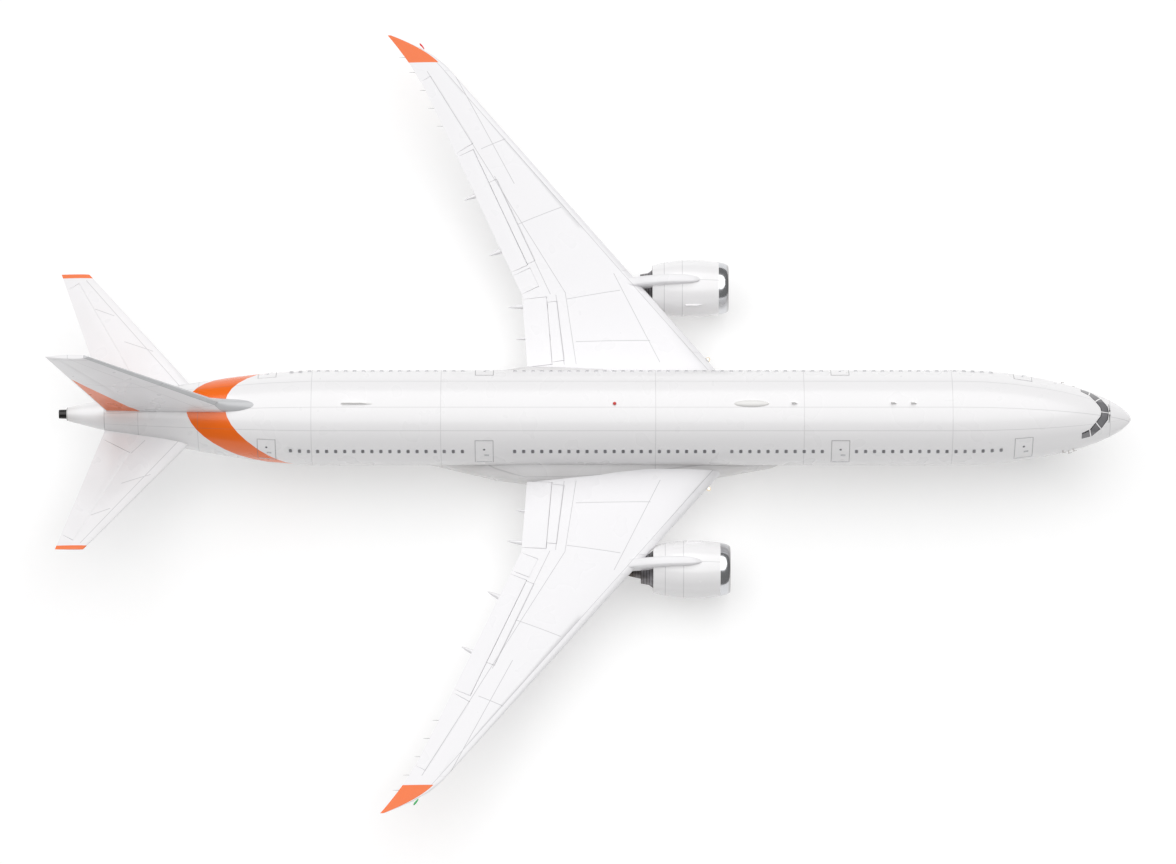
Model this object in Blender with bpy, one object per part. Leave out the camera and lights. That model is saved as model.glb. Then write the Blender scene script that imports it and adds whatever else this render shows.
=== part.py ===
"""A twin-engine wide-body airliner parked on its landing gear, at half its real size.

+X is the nose, +Y the port side and +Z up. The origin lies on the ground, half way between
the nose and the tail. All sizes are metres of the half-size model.
"""
import math

import bmesh
import bpy
from mathutils import Matrix, Vector

# Driving dimensions of the body
NOSE_X = 17.05
TAIL_X = -17.05
AXIS_Z = 2.50
BODY_R = 1.515
NOSE_START_X = 11.60
NOSE_DROP = 0.15
TAIL_START_X = -9.00
TAIL_RISE = 0.38
CONE_END_X = -16.80
CONE_END_SHARE = 0.137
RADOME_X = 16.35
CONE_X = -15.58
EXHAUST_R = 0.15

# Clearances
SEAT_GAP = 0.0003
TRIM_GAP = 0.001
HINGE_GAP = 0.010
END_GAP = 0.012
PIN_GAP = 0.0003
PIN_REACH = 0.040
SURFACE_PIN_R = 0.008
SPOILER_PIN_R = 0.008
PIN_STEPS = 8
SHAFT_GAP = 0.0008
PANEL_GAP = 0.004

# Driving dimensions of the wing, taken on the port side
WING_ROOT_Y = 1.60
WING_KINK_Y = 4.286
WING_TIP_Y = 12.95
WING_RAKE_Y = 11.90
WING_ROOT_Z = AXIS_Z - 0.72
WING_RISE = 0.0678
WING_LEAD_X = 3.583
WING_LEAD_Y = 2.12
WING_LEAD_SLOPE = -0.8576
WING_KINK_X = -2.357
WING_INNER_SLOPE = -0.074
WING_OUTER_SLOPE = -0.459
TIP_LEAD_SWEEP = 0.90
TIP_TRAIL_SWEEP = 0.40
TIP_TRAIL_Y = 10.90
EDGE_HALF = 0.005

# Driving dimensions of the tail
STAB_ROOT_Y = 0.83
STAB_TIP_Y = 4.56
STAB_ROOT_LEAD_X = -12.75
STAB_TIP_LEAD_X = -16.16
STAB_ROOT_TRAIL_X = -15.70
STAB_ROOT_Z = AXIS_Z + 0.33
STAB_RISE = 0.10
FIN_TIP_Z = AXIS_Z + 6.40
FIN_TIP_LEAD_X = -15.71
FIN_TIP_TRAIL_X = -17.02
FIN_LEAD_SLOPE = 0.80
FIN_TRAIL_SLOPE = -0.263
DORSAL_Z = 4.15
DORSAL_HEIGHT = 0.45
DORSAL_REACH = 2.10

# Driving dimensions of the engines
ENGINE_Y = 4.70
ENGINE_Z = 1.38
NOZZLE_X = 1.83
LIP_X = 3.96
NACELLE_R = 0.916
FAN_CASE_R = 0.720
FAN_R = 0.700
FAN_X = 3.36
FAN_BLADES = 16
GUIDE_VANES = 10
TURN_STEPS = 24

# Driving dimensions of the landing gear
MAIN_GEAR_X = -0.65
MAIN_GEAR_Y = 2.45
BOGIE_HALF = 0.38
MAIN_WHEEL_R = 0.343
MAIN_WHEEL_Y = 0.325
MAIN_WHEEL_HALF = 0.130
NOSE_GEAR_X = 13.90
NOSE_WHEEL_R = 0.254
NOSE_WHEEL_Y = 0.190
NOSE_WHEEL_HALF = 0.098
WHEEL_STEPS = 16
BODY_STEPS = 32
BAY_HALF = 0.27
BAY_AFT_X = 13.30
BAY_FRONT_X = 14.60
BAY_ROOF_Z = 1.62

SIDES = (("left", 1.0), ("right", -1.0))


def clear_scene():
    for item in list(bpy.data.objects):
        bpy.data.objects.remove(item, do_unlink=True)


def finish(name, colour, roughness, metallic=0.0):
    material = bpy.data.materials.new(name)
    material.use_nodes = True
    shader = material.node_tree.nodes["Principled BSDF"]
    shader.inputs["Base Color"].default_value = (*colour, 1.0)
    shader.inputs["Roughness"].default_value = roughness
    shader.inputs["Metallic"].default_value = metallic
    return material


WHITE_PAINT = finish("white_paint", (0.86, 0.85, 0.87), 0.30)
POLISHED_METAL = finish("polished_metal", (0.80, 0.80, 0.82), 0.15, 1.0)
EXHAUST_METAL = finish("exhaust_metal", (0.20, 0.20, 0.21), 0.40, 0.9)
FAN_METAL = finish("fan_metal", (0.09, 0.09, 0.10), 0.35, 0.6)
GLAZING = finish("glazing", (0.06, 0.065, 0.07), 0.08)
GEAR_PAINT = finish("gear_paint", (0.62, 0.63, 0.64), 0.40, 0.2)
TYRE_RUBBER = finish("tyre_rubber", (0.03, 0.03, 0.03), 0.85)


def twisted(face):
    middle = face.calc_center_median()
    return any(abs((vertex.co - middle).dot(face.normal)) > 0.000001 for vertex in face.verts)


def object_from(bm, name, material, origin=Vector((0.0, 0.0, 0.0))):
    """Turns a finished bmesh into an object whose origin lies at the given point."""
    bmesh.ops.remove_doubles(bm, verts=bm.verts, dist=0.00001)
    bm.normal_update()
    bmesh.ops.triangulate(bm, faces=[face for face in bm.faces if twisted(face)], quad_method="FIXED")
    bmesh.ops.recalc_face_normals(bm, faces=bm.faces)
    bmesh.ops.translate(bm, verts=bm.verts, vec=-origin)
    mesh = bpy.data.meshes.new(name)
    bm.to_mesh(mesh)
    bm.free()
    mesh.materials.append(material)
    mesh.shade_smooth()
    mesh.set_sharp_from_angle(angle=math.radians(30.0))
    made = bpy.data.objects.new(name, mesh)
    made.location = origin
    bpy.context.scene.collection.objects.link(made)
    return made


def loft(name, rings, material, origin=Vector((0.0, 0.0, 0.0))):
    """Skins a row of rings that have the same number of points, and caps both ends."""
    bm = bmesh.new()
    rows = [[bm.verts.new(point) for point in ring] for ring in rings]
    count = len(rows[0])
    for row, following in zip(rows, rows[1:]):
        for index in range(count):
            after = (index + 1) % count
            bm.faces.new((row[index], row[after], following[after], following[index]))
    bm.faces.new(rows[0])
    bm.faces.new(rows[-1])
    return object_from(bm, name, material, origin)


def turned(name, profile, centre, axis, steps, material, hollow=False, phase=0.0):
    """Spins a profile of (distance along the axis, radius) points about the axis.

    A profile that starts and ends on the axis is closed by a tip or a flat cap there.
    The phase, in steps, turns the facets.
    """
    middle = Vector(centre)
    along = Vector(axis).normalized()
    side = Vector((0.0, 0.0, 1.0)) if abs(along.z) < 0.9 else Vector((1.0, 0.0, 0.0))
    outward = (side - along * side.dot(along)).normalized()
    across = along.cross(outward)
    bm = bmesh.new()
    rows = []
    for run, radius in profile:
        if radius == 0.0:
            rows.append([bm.verts.new(middle + along * run)] * steps)
            continue
        row = []
        for step in range(steps):
            angle = math.tau * (step + phase) / steps
            reach = outward * math.cos(angle) + across * math.sin(angle)
            row.append(bm.verts.new(middle + along * run + reach * radius))
        rows.append(row)
    pairs = list(zip(rows, rows[1:]))
    if hollow:
        pairs.append((rows[-1], rows[0]))
    for row, following in pairs:
        for step in range(steps):
            after = (step + 1) % steps
            corners = (row[step], row[after], following[after], following[step])
            bm.faces.new(tuple(dict.fromkeys(corners)))
    return object_from(bm, name, material)


def rod(name, start, end, radius, material, steps=16):
    """A round bar from one point to another."""
    run = Vector(end) - Vector(start)
    along = run.normalized()
    side = Vector((0.0, 0.0, 1.0)) if abs(along.z) < 0.9 else Vector((1.0, 0.0, 0.0))
    outward = (side - along * side.dot(along)).normalized()
    across = along.cross(outward)
    turns = [math.tau * step / steps for step in range(steps)]
    around = [(outward * math.cos(turn) + across * math.sin(turn)) * radius for turn in turns]
    return loft(name, [[Vector(start) + reach for reach in around], [Vector(end) + reach for reach in around]],
                material)


def bore_radius(radius, steps):
    """The corner radius of a faceted bore that a pin of this radius turns in with no contact."""
    return (radius + PIN_GAP) / math.cos(math.pi / steps)


def block(name, low, high, material):
    bm = bmesh.new()
    bmesh.ops.create_cube(bm, size=1.0)
    size = Vector(high) - Vector(low)
    middle = (Vector(high) + Vector(low)) / 2.0
    bmesh.ops.scale(bm, verts=bm.verts, vec=size)
    bmesh.ops.translate(bm, verts=bm.verts, vec=middle)
    return object_from(bm, name, material)


def combine(target, operation, tool):
    """Applies a tool body to a solid: the tool itself is a guide and not a piece."""
    tool.hide_render = True
    tool.display_type = "WIRE"
    step = target.modifiers.new(operation.lower() + "_" + tool.name, "BOOLEAN")
    step.operation = operation
    step.solver = "EXACT"
    step.object = tool
    return target


def cut(target, *tools):
    for tool in tools:
        combine(target, "DIFFERENCE", tool)
    return target


def join(target, *tools):
    for tool in tools:
        combine(target, "UNION", tool)
    return target


# Body: a round section whose radius and centre height follow the length

def body_radius(x):
    if x > NOSE_START_X:
        share = min((x - NOSE_START_X) / (NOSE_X - NOSE_START_X), 1.0)
        return BODY_R * (1.0 - share ** 1.8) ** 0.62
    if x < TAIL_START_X:
        share = (TAIL_START_X - x) / (TAIL_START_X - CONE_END_X)
        return BODY_R * (1.0 - (1.0 - CONE_END_SHARE) * share ** 1.5)
    return BODY_R


def body_centre_z(x):
    if x > NOSE_START_X:
        share = (x - NOSE_START_X) / (NOSE_X - NOSE_START_X)
        return AXIS_Z - NOSE_DROP * share ** 2.0
    if x < TAIL_START_X:
        share = (TAIL_START_X - x) / (TAIL_START_X - CONE_END_X)
        return AXIS_Z + TAIL_RISE * share ** 1.6
    return AXIS_Z


def body_point(x, angle, grow=0.0):
    """The skin at a station, the angle counted in radians up from the port side."""
    radius = body_radius(x) + grow
    return Vector((x, radius * math.cos(angle), body_centre_z(x) + radius * math.sin(angle)))


def body_ring(x, grow=0.0, steps=BODY_STEPS):
    return [body_point(x, math.tau * (step + 0.5) / steps, grow) for step in range(steps)]


NOSE_STATIONS = (12.4, 13.3, 14.2, 14.9, 15.5, 16.0, RADOME_X)
TAIL_STATIONS = (CONE_X, -14.7, -13.7, -12.6, -11.5, -10.4, TAIL_START_X)
BARREL_STATIONS = (-1.0, 6.0, NOSE_START_X)


def make_fuselage():
    stations = TAIL_STATIONS + BARREL_STATIONS + NOSE_STATIONS
    return loft("fuselage", [body_ring(x) for x in stations], WHITE_PAINT)


def make_radome():
    stations = (RADOME_X + SEAT_GAP, 16.60, 16.80, 16.94, 17.01, 17.04, NOSE_X)
    rings = [body_ring(x) for x in stations[:-1]]
    tip = body_centre_z(NOSE_X)
    small = 0.03
    rings.append([Vector((NOSE_X, point.y * small, tip + (point.z - tip) * small)) for point in rings[-1]])
    return loft("radome", rings, WHITE_PAINT)


def make_tail_cone():
    """The last body section with its darker exhaust nozzle, open at the end."""
    stations = (CONE_X - SEAT_GAP, -16.2, CONE_END_X)
    rings = [body_ring(x) for x in stations]
    centre = body_centre_z(CONE_END_X)
    for x, radius in ((CONE_END_X - 0.01, EXHAUST_R), (TAIL_X, EXHAUST_R * 0.93),
                      (TAIL_X, EXHAUST_R * 0.75), (TAIL_X + 0.15, EXHAUST_R * 0.70)):
        rings.append([Vector((x, radius * math.cos(angle), centre + radius * math.sin(angle)))
                      for angle in (math.tau * (step + 0.5) / BODY_STEPS for step in range(BODY_STEPS))])
    return loft("tail_cone", rings, WHITE_PAINT)


def body_cutter(name, grow=TRIM_GAP, low_x=TAIL_X, high_x=NOSE_X):
    stations = [x for x in (-16.8, -16.2) + TAIL_STATIONS + BARREL_STATIONS + NOSE_STATIONS
                if low_x <= x <= high_x]
    return loft(name, [body_ring(x, grow) for x in stations], WHITE_PAINT)


def skin_grid(lower, upper, rows):
    """Rows of (x, angle in degrees) points from a patch's lower edge to its upper edge."""
    grid = []
    for row in range(rows + 1):
        share = row / rows
        grid.append([(low[0] + (high[0] - low[0]) * share, low[1] + (high[1] - low[1]) * share)
                     for low, high in zip(lower, upper)])
    return grid


def beyond(edge, inner, gap):
    """The point past an edge of the grid by the gap, measured along the skin."""
    run = edge[0] - inner[0]
    turn = edge[1] - inner[1]
    share = gap / math.hypot(run, math.radians(turn) * body_radius(edge[0]))
    return (edge[0] + run * share, edge[1] + turn * share)


def bordered(grid, gap):
    wide = [[beyond(row[0], row[1], gap)] + row + [beyond(row[-1], row[-2], gap)] for row in grid]
    first = [beyond(edge, inner, gap) for edge, inner in zip(wide[0], wide[1])]
    last = [beyond(edge, inner, gap) for edge, inner in zip(wide[-1], wide[-2])]
    return [first] + wide + [last]


def skin_patch(name, grid, inner, outer, material):
    """A plate that follows the body skin over a grid, between two depths."""
    rings = []
    for row in grid:
        outside = [body_point(x, math.radians(angle), outer) for x, angle in row]
        inside = [body_point(x, math.radians(angle), inner) for x, angle in row]
        rings.append(outside + inside[::-1])
    return loft(name, rings, material)


def inset_patch(name, host, grid, depth, material):
    """A flush plate and the opening that it fills in the skin."""
    skin_patch(name, grid, -depth, 0.0, material)
    opening = skin_patch("opening_" + name, bordered(grid, PANEL_GAP), -depth - TRIM_GAP, 0.01, material)
    cut(host, opening)


# Passenger doors: plug doors that fill their openings flush with the skin

DOOR_STATIONS = (("door_4", -10.43), ("door_3", -3.53), ("door_2", 7.76), ("door_1", 13.57))
DOOR_HALF = 0.285
DOOR_LOW_ANGLE = 4.0
DOOR_HIGH_ANGLE = 44.0
DOOR_DEPTH = 0.06


def door_edge(x, angle, side):
    turned_angle = angle if side > 0.0 else 180.0 - angle
    return [(x - DOOR_HALF, turned_angle), (x, turned_angle), (x + DOOR_HALF, turned_angle)]


def make_doors(fuselage):
    for label, x in DOOR_STATIONS:
        for word, side in SIDES:
            grid = skin_grid(door_edge(x, DOOR_LOW_ANGLE, side), door_edge(x, DOOR_HIGH_ANGLE, side), 4)
            inset_patch(label + "_" + word, fuselage, grid, DOOR_DEPTH, WHITE_PAINT)


# Cockpit glazing: one curved band of panes set in the skin

GLAZING_LOWER = ((15.43, 30.0), (15.76, 31.0), (16.07, 48.0), (16.27, 70.0), (16.30, 90.0))
GLAZING_UPPER = ((15.43, 43.0), (15.69, 49.0), (15.88, 64.0), (16.03, 79.0), (16.06, 90.0))
GLAZING_DEPTH = 0.04


def mirrored(edge):
    return list(edge) + [(x, 180.0 - angle) for x, angle in reversed(edge[:-1])]


def halved(edge):
    """The same edge with a further point half way along each of its runs."""
    points = [edge[0]]
    for before, after in zip(edge, edge[1:]):
        points += [((before[0] + after[0]) / 2.0, (before[1] + after[1]) / 2.0), after]
    return points


def make_cockpit_glazing(fuselage):
    grid = skin_grid(mirrored(halved(GLAZING_LOWER)), mirrored(halved(GLAZING_UPPER)), 2)
    inset_patch("cockpit_glazing", fuselage, grid, GLAZING_DEPTH, GLAZING)


# Lifting surfaces: an aerofoil section over a planform

CHORD_PARTS = (0.0, 0.015, 0.06, 0.16, 0.32, 0.52, 0.76, 1.0)


def aerofoil(part):
    """Half thickness over full thickness at a share of the chord."""
    return 5.0 * (0.2969 * math.sqrt(part) - 0.1260 * part - 0.3516 * part ** 2
                  + 0.2843 * part ** 3 - 0.1036 * part ** 4)


class Surface:
    """A wing, stabiliser or fin in its own axes: x fore and aft, y along the span, z off its middle."""

    def __init__(self, leading, trailing, middle, thickness):
        self.leading = leading
        self.trailing = trailing
        self.middle = middle
        self.thickness = thickness

    def half(self, span, x):
        chord = self.leading(span) - self.trailing(span)
        part = min(max((self.leading(span) - x) / chord, 0.0), 1.0)
        return self.thickness(span) * aerofoil(part) + EDGE_HALF * part

    def skin(self, span, x, sign):
        return self.middle(span) + sign * self.half(span, x)

    def ring(self, span, grow=0.0):
        lead = self.leading(span)
        chord = lead - self.trailing(span)
        upper = []
        lower = []
        for part in CHORD_PARTS[1:]:
            x = lead - part * chord
            reach = grow if part == 1.0 else 0.0
            upper.append(Vector((x - reach, span, self.skin(span, x, 1.0) + grow)))
            lower.append(Vector((x - reach, span, self.skin(span, x, -1.0) - grow)))
        front = Vector((lead + grow, span, self.middle(span)))
        return upper[::-1] + [front] + lower


def wing_leading(span):
    straight = WING_LEAD_X + WING_LEAD_SLOPE * (span - WING_LEAD_Y)
    rake = max(span - WING_RAKE_Y, 0.0) / (WING_TIP_Y - WING_RAKE_Y)
    return straight - TIP_LEAD_SWEEP * rake ** 2.0


def wing_trailing(span):
    if span < WING_KINK_Y:
        return WING_KINK_X + WING_INNER_SLOPE * (span - WING_KINK_Y)
    rake = max(span - TIP_TRAIL_Y, 0.0) / (WING_TIP_Y - TIP_TRAIL_Y)
    return WING_KINK_X + WING_OUTER_SLOPE * (span - WING_KINK_Y) - TIP_TRAIL_SWEEP * rake ** 1.9


def wing_middle(span):
    return WING_ROOT_Z + WING_RISE * (span - WING_ROOT_Y)


def wing_thickness(span):
    chord = wing_leading(span) - wing_trailing(span)
    if span < WING_KINK_Y:
        share = (span - WING_ROOT_Y) / (WING_KINK_Y - WING_ROOT_Y)
        return chord * (0.125 - 0.020 * share)
    share = (span - WING_KINK_Y) / (WING_TIP_Y - WING_KINK_Y)
    return chord * (0.105 - 0.015 * share)


WING = Surface(wing_leading, wing_trailing, wing_middle, wing_thickness)
WING_STATIONS = (WING_ROOT_Y, 2.9, WING_KINK_Y, 6.3, 8.6, TIP_TRAIL_Y, WING_RAKE_Y,
                 12.25, 12.55, 12.80, WING_TIP_Y)


def stab_leading(span):
    share = (span - STAB_ROOT_Y) / (STAB_TIP_Y - STAB_ROOT_Y)
    return STAB_ROOT_LEAD_X + (STAB_TIP_LEAD_X - STAB_ROOT_LEAD_X) * share


def stab_trailing(span):
    share = (span - STAB_ROOT_Y) / (STAB_TIP_Y - STAB_ROOT_Y)
    return STAB_ROOT_TRAIL_X + (TAIL_X - STAB_ROOT_TRAIL_X) * share


def stab_middle(span):
    return STAB_ROOT_Z + STAB_RISE * (span - STAB_ROOT_Y)


def stab_thickness(span):
    return 0.10 * (stab_leading(span) - stab_trailing(span))


STABILISER = Surface(stab_leading, stab_trailing, stab_middle, stab_thickness)


def fin_leading(height):
    straight = FIN_TIP_LEAD_X + FIN_LEAD_SLOPE * (FIN_TIP_Z - height)
    dorsal = min(max(DORSAL_Z - height, 0.0), DORSAL_HEIGHT) / DORSAL_HEIGHT
    return straight + DORSAL_REACH * dorsal ** 1.5


def fin_trailing(height):
    return FIN_TIP_TRAIL_X + FIN_TRAIL_SLOPE * (height - FIN_TIP_Z)


def fin_thickness(height):
    share = (FIN_TIP_Z - height) / (FIN_TIP_Z - DORSAL_Z)
    return 0.13 + 0.29 * min(share, 1.0)


FIN = Surface(fin_leading, fin_trailing, lambda height: 0.0, fin_thickness)


def wing_lay(side):
    """Lays port-side axes on the port or the starboard side."""
    return lambda point: Vector((point.x, side * point.y, point.z))


def fin_lay(point):
    """Stands the fin's axes up: its span is the height, its thickness lies across."""
    return Vector((point.x, point.z, point.y))


def laid(rings, lay):
    return [[lay(point) for point in ring] for ring in rings]


# Hinged surfaces: each runs along a straight axis and is cut square to it

ARC_ANGLES = tuple(math.radians(angle) for angle in (-67.5, -45.0, -22.5, 0.0, 22.5, 45.0, 67.5))
CUT_HEIGHT = 0.60
CUT_REACH = 0.35


class Hinge:
    """A straight hinge or front line on a surface, between two spans."""

    def __init__(self, surface, start, end):
        self.surface = surface
        self.start = Vector((start[0], start[1], surface.middle(start[1])))
        self.end = Vector((end[0], end[1], surface.middle(end[1])))
        self.along = (self.end - self.start).normalized()
        self.aft = Vector((-self.along.y, self.along.x, 0.0)).normalized()
        self.up = self.along.cross(self.aft)

    def at(self, share, extra=0.0):
        return self.start.lerp(self.end, share) + self.along * extra

    def at_span(self, span):
        return self.at((span - self.start.y) / (self.end.y - self.start.y))

    def chord(self, point):
        """Distance from a point of the line to the trailing edge, square to the line."""
        distance = 0.5
        for _ in range(30):
            edge = self.surface.trailing(point.y + distance * self.aft.y)
            distance = (point.x - edge) / -self.aft.x
        return distance

    def skin(self, point, distance, sign):
        spot = point + self.aft * distance
        return (self.surface.skin(spot.y, spot.x, sign) - spot.z) / self.up.z

    def place(self, point, distance, height):
        return point + self.aft * distance + self.up * height

    def rings(self, shape, extra=0.0, shares=(0.0, 0.5, 1.0)):
        ends = {0.0: -extra, 1.0: extra}
        return [shape(self, self.at(share, ends.get(share, 0.0))) for share in shares]


def round_nose_ring(line, point):
    """Section of a surface with a round nose about its hinge and the wing's own skins behind it."""
    radius = line.surface.half(point.y, point.x)
    chord = line.chord(point)
    upper = [line.place(point, part * chord, line.skin(point, part * chord, 1.0))
             for part in (0.0, 0.25, 0.6, 1.0)]
    lower = [line.place(point, part * chord, line.skin(point, part * chord, -1.0))
             for part in (1.0, 0.6, 0.25, 0.0)]
    nose = [line.place(point, -radius * math.cos(angle), radius * math.sin(angle))
            for angle in ARC_ANGLES]
    return upper + lower + nose


def round_cove_ring(line, point):
    radius = line.surface.half(point.y, point.x) + HINGE_GAP
    reach = line.chord(point) + CUT_REACH
    arc = [line.place(point, -radius * math.cos(angle), radius * math.sin(angle))
           for angle in (-math.pi / 2.0,) + ARC_ANGLES + (math.pi / 2.0,)]
    return arc + [line.place(point, 0.0, CUT_HEIGHT), line.place(point, reach, CUT_HEIGHT),
                  line.place(point, reach, -CUT_HEIGHT), line.place(point, 0.0, -CUT_HEIGHT)]


def hang(piece, carrier, start, end, radius, reach):
    """Puts a piece on one straight pin that runs in the carrier past both of its ends."""
    along = (end - start).normalized()
    pin = rod("pin_" + piece.name, start - along * reach, end + along * reach, radius, GEAR_PAINT, PIN_STEPS)
    bore = rod("bore_" + piece.name, start - along * (reach + TRIM_GAP), end + along * (reach + TRIM_GAP),
               bore_radius(radius, PIN_STEPS), GEAR_PAINT, PIN_STEPS)
    join(piece, pin)
    cut(carrier, bore)


def make_round_nose(name, carrier, line, lay):
    """A control surface with a round nose, and its cove in the surface that carries it."""
    origin = lay(line.at(0.5))
    surface = loft(name, laid(line.rings(round_nose_ring), lay), WHITE_PAINT, origin)
    cove = loft("cove_" + name, laid(line.rings(round_cove_ring, END_GAP), lay), WHITE_PAINT)
    cut(carrier, cove)
    hang(surface, carrier, lay(line.start), lay(line.end), SURFACE_PIN_R, PIN_REACH)


# Flaps: each drops about a pivot line below the wing, held in the canoes

FLAP_CORNER = 0.022
FLAP_DROP = 0.20
CANOE_R = 0.17
CANOE_HALF = 0.12
CANOE_STEPS = 8
TONGUE_SHARE = 0.60
CHEEK_LOW_SHARE = 0.70
CHEEK_HIGH_SHARE = 0.92
CHEEK_R = 0.055
FLAP_PIN_R = 0.008


def flap_ring(line, point):
    chord = line.chord(point)
    upper = [(part * chord, line.skin(point, part * chord, 1.0)) for part in (0.35, 0.7, 1.0)]
    lower = [(part * chord, line.skin(point, part * chord, -1.0)) for part in (1.0, 0.7, 0.35)]
    top = line.skin(point, FLAP_CORNER, 1.0)
    bottom = line.skin(point, FLAP_CORNER, -1.0)
    part = 0.3 * FLAP_CORNER
    front_top = [(0.0, top - FLAP_CORNER), (part, top - part), (FLAP_CORNER, top)]
    front_bottom = [(FLAP_CORNER, bottom), (part, bottom + part), (0.0, bottom + FLAP_CORNER)]
    return [line.place(point, *spot) for spot in front_top + upper + lower + front_bottom]


def flap_cove_ring(line, point):
    reach = line.chord(point) + CUT_REACH
    return [line.place(point, -HINGE_GAP, CUT_HEIGHT), line.place(point, reach, CUT_HEIGHT),
            line.place(point, reach, -CUT_HEIGHT), line.place(point, -HINGE_GAP, -CUT_HEIGHT)]


def canoe_ring(line, point, distance, half, height, middle):
    """An oval section across a flap-track fairing."""
    ring = []
    for step in range(CANOE_STEPS):
        angle = math.tau * (step + 0.5) / CANOE_STEPS
        ring.append(line.place(point, distance, middle + height * math.sin(angle))
                    + line.along * (half * math.cos(angle)))
    return ring


def front_canoe(name, line, span, length, size, lay):
    point = line.at_span(span)
    drop = -FLAP_DROP
    shapes = ((-length, 0.15, 0.12, 0.40), (-0.8 * length, 0.50, 0.50, 0.68),
              (-0.5 * length, 0.85, 0.85, 0.92), (-0.2, 1.0, 1.0, 1.0), (0.0, 1.0, 1.0, 1.0))
    rings = [canoe_ring(line, point, distance, CANOE_HALF * size * wide, CANOE_R * tall, drop * deep)
             for distance, wide, tall, deep in shapes]
    return loft(name, laid(rings, lay), WHITE_PAINT)


def aft_canoe(name, line, span, overhang, size, lay):
    """The half that moves with the flap: a round-nosed tongue, then the full-width fairing."""
    point = line.at_span(span)
    length = line.chord(point) + overhang
    rings = []
    for angle in (75.0, 50.0, 25.0, 0.0):
        distance = -CANOE_R * math.sin(math.radians(angle))
        height = CANOE_R * math.cos(math.radians(angle))
        rings.append(canoe_ring(line, point, distance, CANOE_HALF * size * TONGUE_SHARE, height, -FLAP_DROP))
    start = 0.085
    rings.append(canoe_ring(line, point, start, CANOE_HALF * size * TONGUE_SHARE, CANOE_R, -FLAP_DROP))
    for share, wide, tall, deep in ((0.0, 0.96, 0.97, 0.99), (0.30, 0.90, 0.78, 0.86), (0.62, 0.66, 0.54, 0.64),
                                    (0.88, 0.36, 0.28, 0.45), (1.0, 0.08, 0.08, 0.38)):
        distance = start + 0.001 + share * (length - start)
        rings.append(canoe_ring(line, point, distance, CANOE_HALF * size * wide,
                                CANOE_R * tall, -FLAP_DROP * deep))
    return loft(name, laid(rings, lay), WHITE_PAINT)


def across_pivot(line, span, shifts):
    """Points on the pivot line, at distances along it from the middle of a canoe."""
    centre = line.place(line.at_span(span), 0.0, -FLAP_DROP)
    return [centre + line.along * shift for shift in shifts]


def pivot_cutter(name, line, span, size, lay):
    """A round pocket about the pivot, for the canoe's moving half."""
    reach = CANOE_HALF * size * TONGUE_SHARE + HINGE_GAP
    radius = CANOE_R + 1.6 * HINGE_GAP
    rings = []
    for centre in across_pivot(line, span, (-reach, reach)):
        rings.append([line.place(centre, radius * math.cos(angle), radius * math.sin(angle))
                      for angle in (math.tau * step / 16 for step in range(16))])
    return loft(name, laid(rings, lay), WHITE_PAINT)


def pivot_cheek(name, line, span, size, sign, lay):
    """An ear at one side of a fixed canoe, round about the pivot."""
    width = CANOE_HALF * size * sign
    rings = []
    for centre in across_pivot(line, span, (width * CHEEK_LOW_SHARE, width * CHEEK_HIGH_SHARE)):
        ring = [line.place(centre, CHEEK_R * math.cos(angle), CHEEK_R * math.sin(angle))
                for angle in (math.radians(turn) for turn in (-90.0, -60.0, -30.0, 0.0, 30.0, 60.0, 90.0))]
        ring += [line.place(centre, -0.09, CHEEK_R), line.place(centre, -0.09, -CHEEK_R)]
        rings.append(ring)
    return loft(name, laid(rings, lay), WHITE_PAINT)


def make_flap(name, wing, line, canoes, lay):
    origin = lay(line.place(line.at(0.5), 0.0, -FLAP_DROP))
    flap = loft(name, laid(line.rings(flap_ring), lay), WHITE_PAINT, origin)
    cut(wing, loft("cove_" + name, laid(line.rings(flap_cove_ring, END_GAP), lay), WHITE_PAINT))
    for number, (span, overhang, size) in enumerate(canoes):
        label = "%s_%d" % (name, number)
        join(flap, aft_canoe("aft_canoe_" + label, line, span, overhang, size, lay))
        cut(wing, pivot_cutter("pivot_" + label, line, span, size, lay))
        for word, sign in (("outer", 1.0), ("inner", -1.0)):
            join(wing, pivot_cheek("cheek_%s_%s" % (word, label), line, span, size, sign, lay))
        reach = CANOE_HALF * size * CHEEK_HIGH_SHARE
        start, end = (lay(point) for point in across_pivot(line, span, (-reach, reach)))
        pin = rod("pin_" + label, start, end, FLAP_PIN_R, GEAR_PAINT, PIN_STEPS)
        along = (end - start).normalized() * 0.02
        bore = rod("bore_" + label, start - along, end + along, bore_radius(FLAP_PIN_R, PIN_STEPS),
                   GEAR_PAINT, PIN_STEPS)
        join(flap, pin)
        cut(wing, bore)


# Spoilers: thin panels in the upper skin, hinged at their front edge

SPOILER_NOSE_R = 0.018
SPOILER_TAIL = 0.012


def spoiler_centre(line, point):
    return line.skin(point, 0.0, 1.0) - SPOILER_NOSE_R


def spoiler_chord(line, flap_line, point):
    """Distance to the flap's front line, square to the spoiler's hinge, less the slot."""
    run = flap_line.end - flap_line.start
    slope = run.x / run.y
    distance = 0.3
    for _ in range(20):
        front = flap_line.start.x + slope * (point.y + distance * line.aft.y - flap_line.start.y)
        distance = (point.x - front) / -line.aft.x
    return distance - HINGE_GAP


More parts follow.
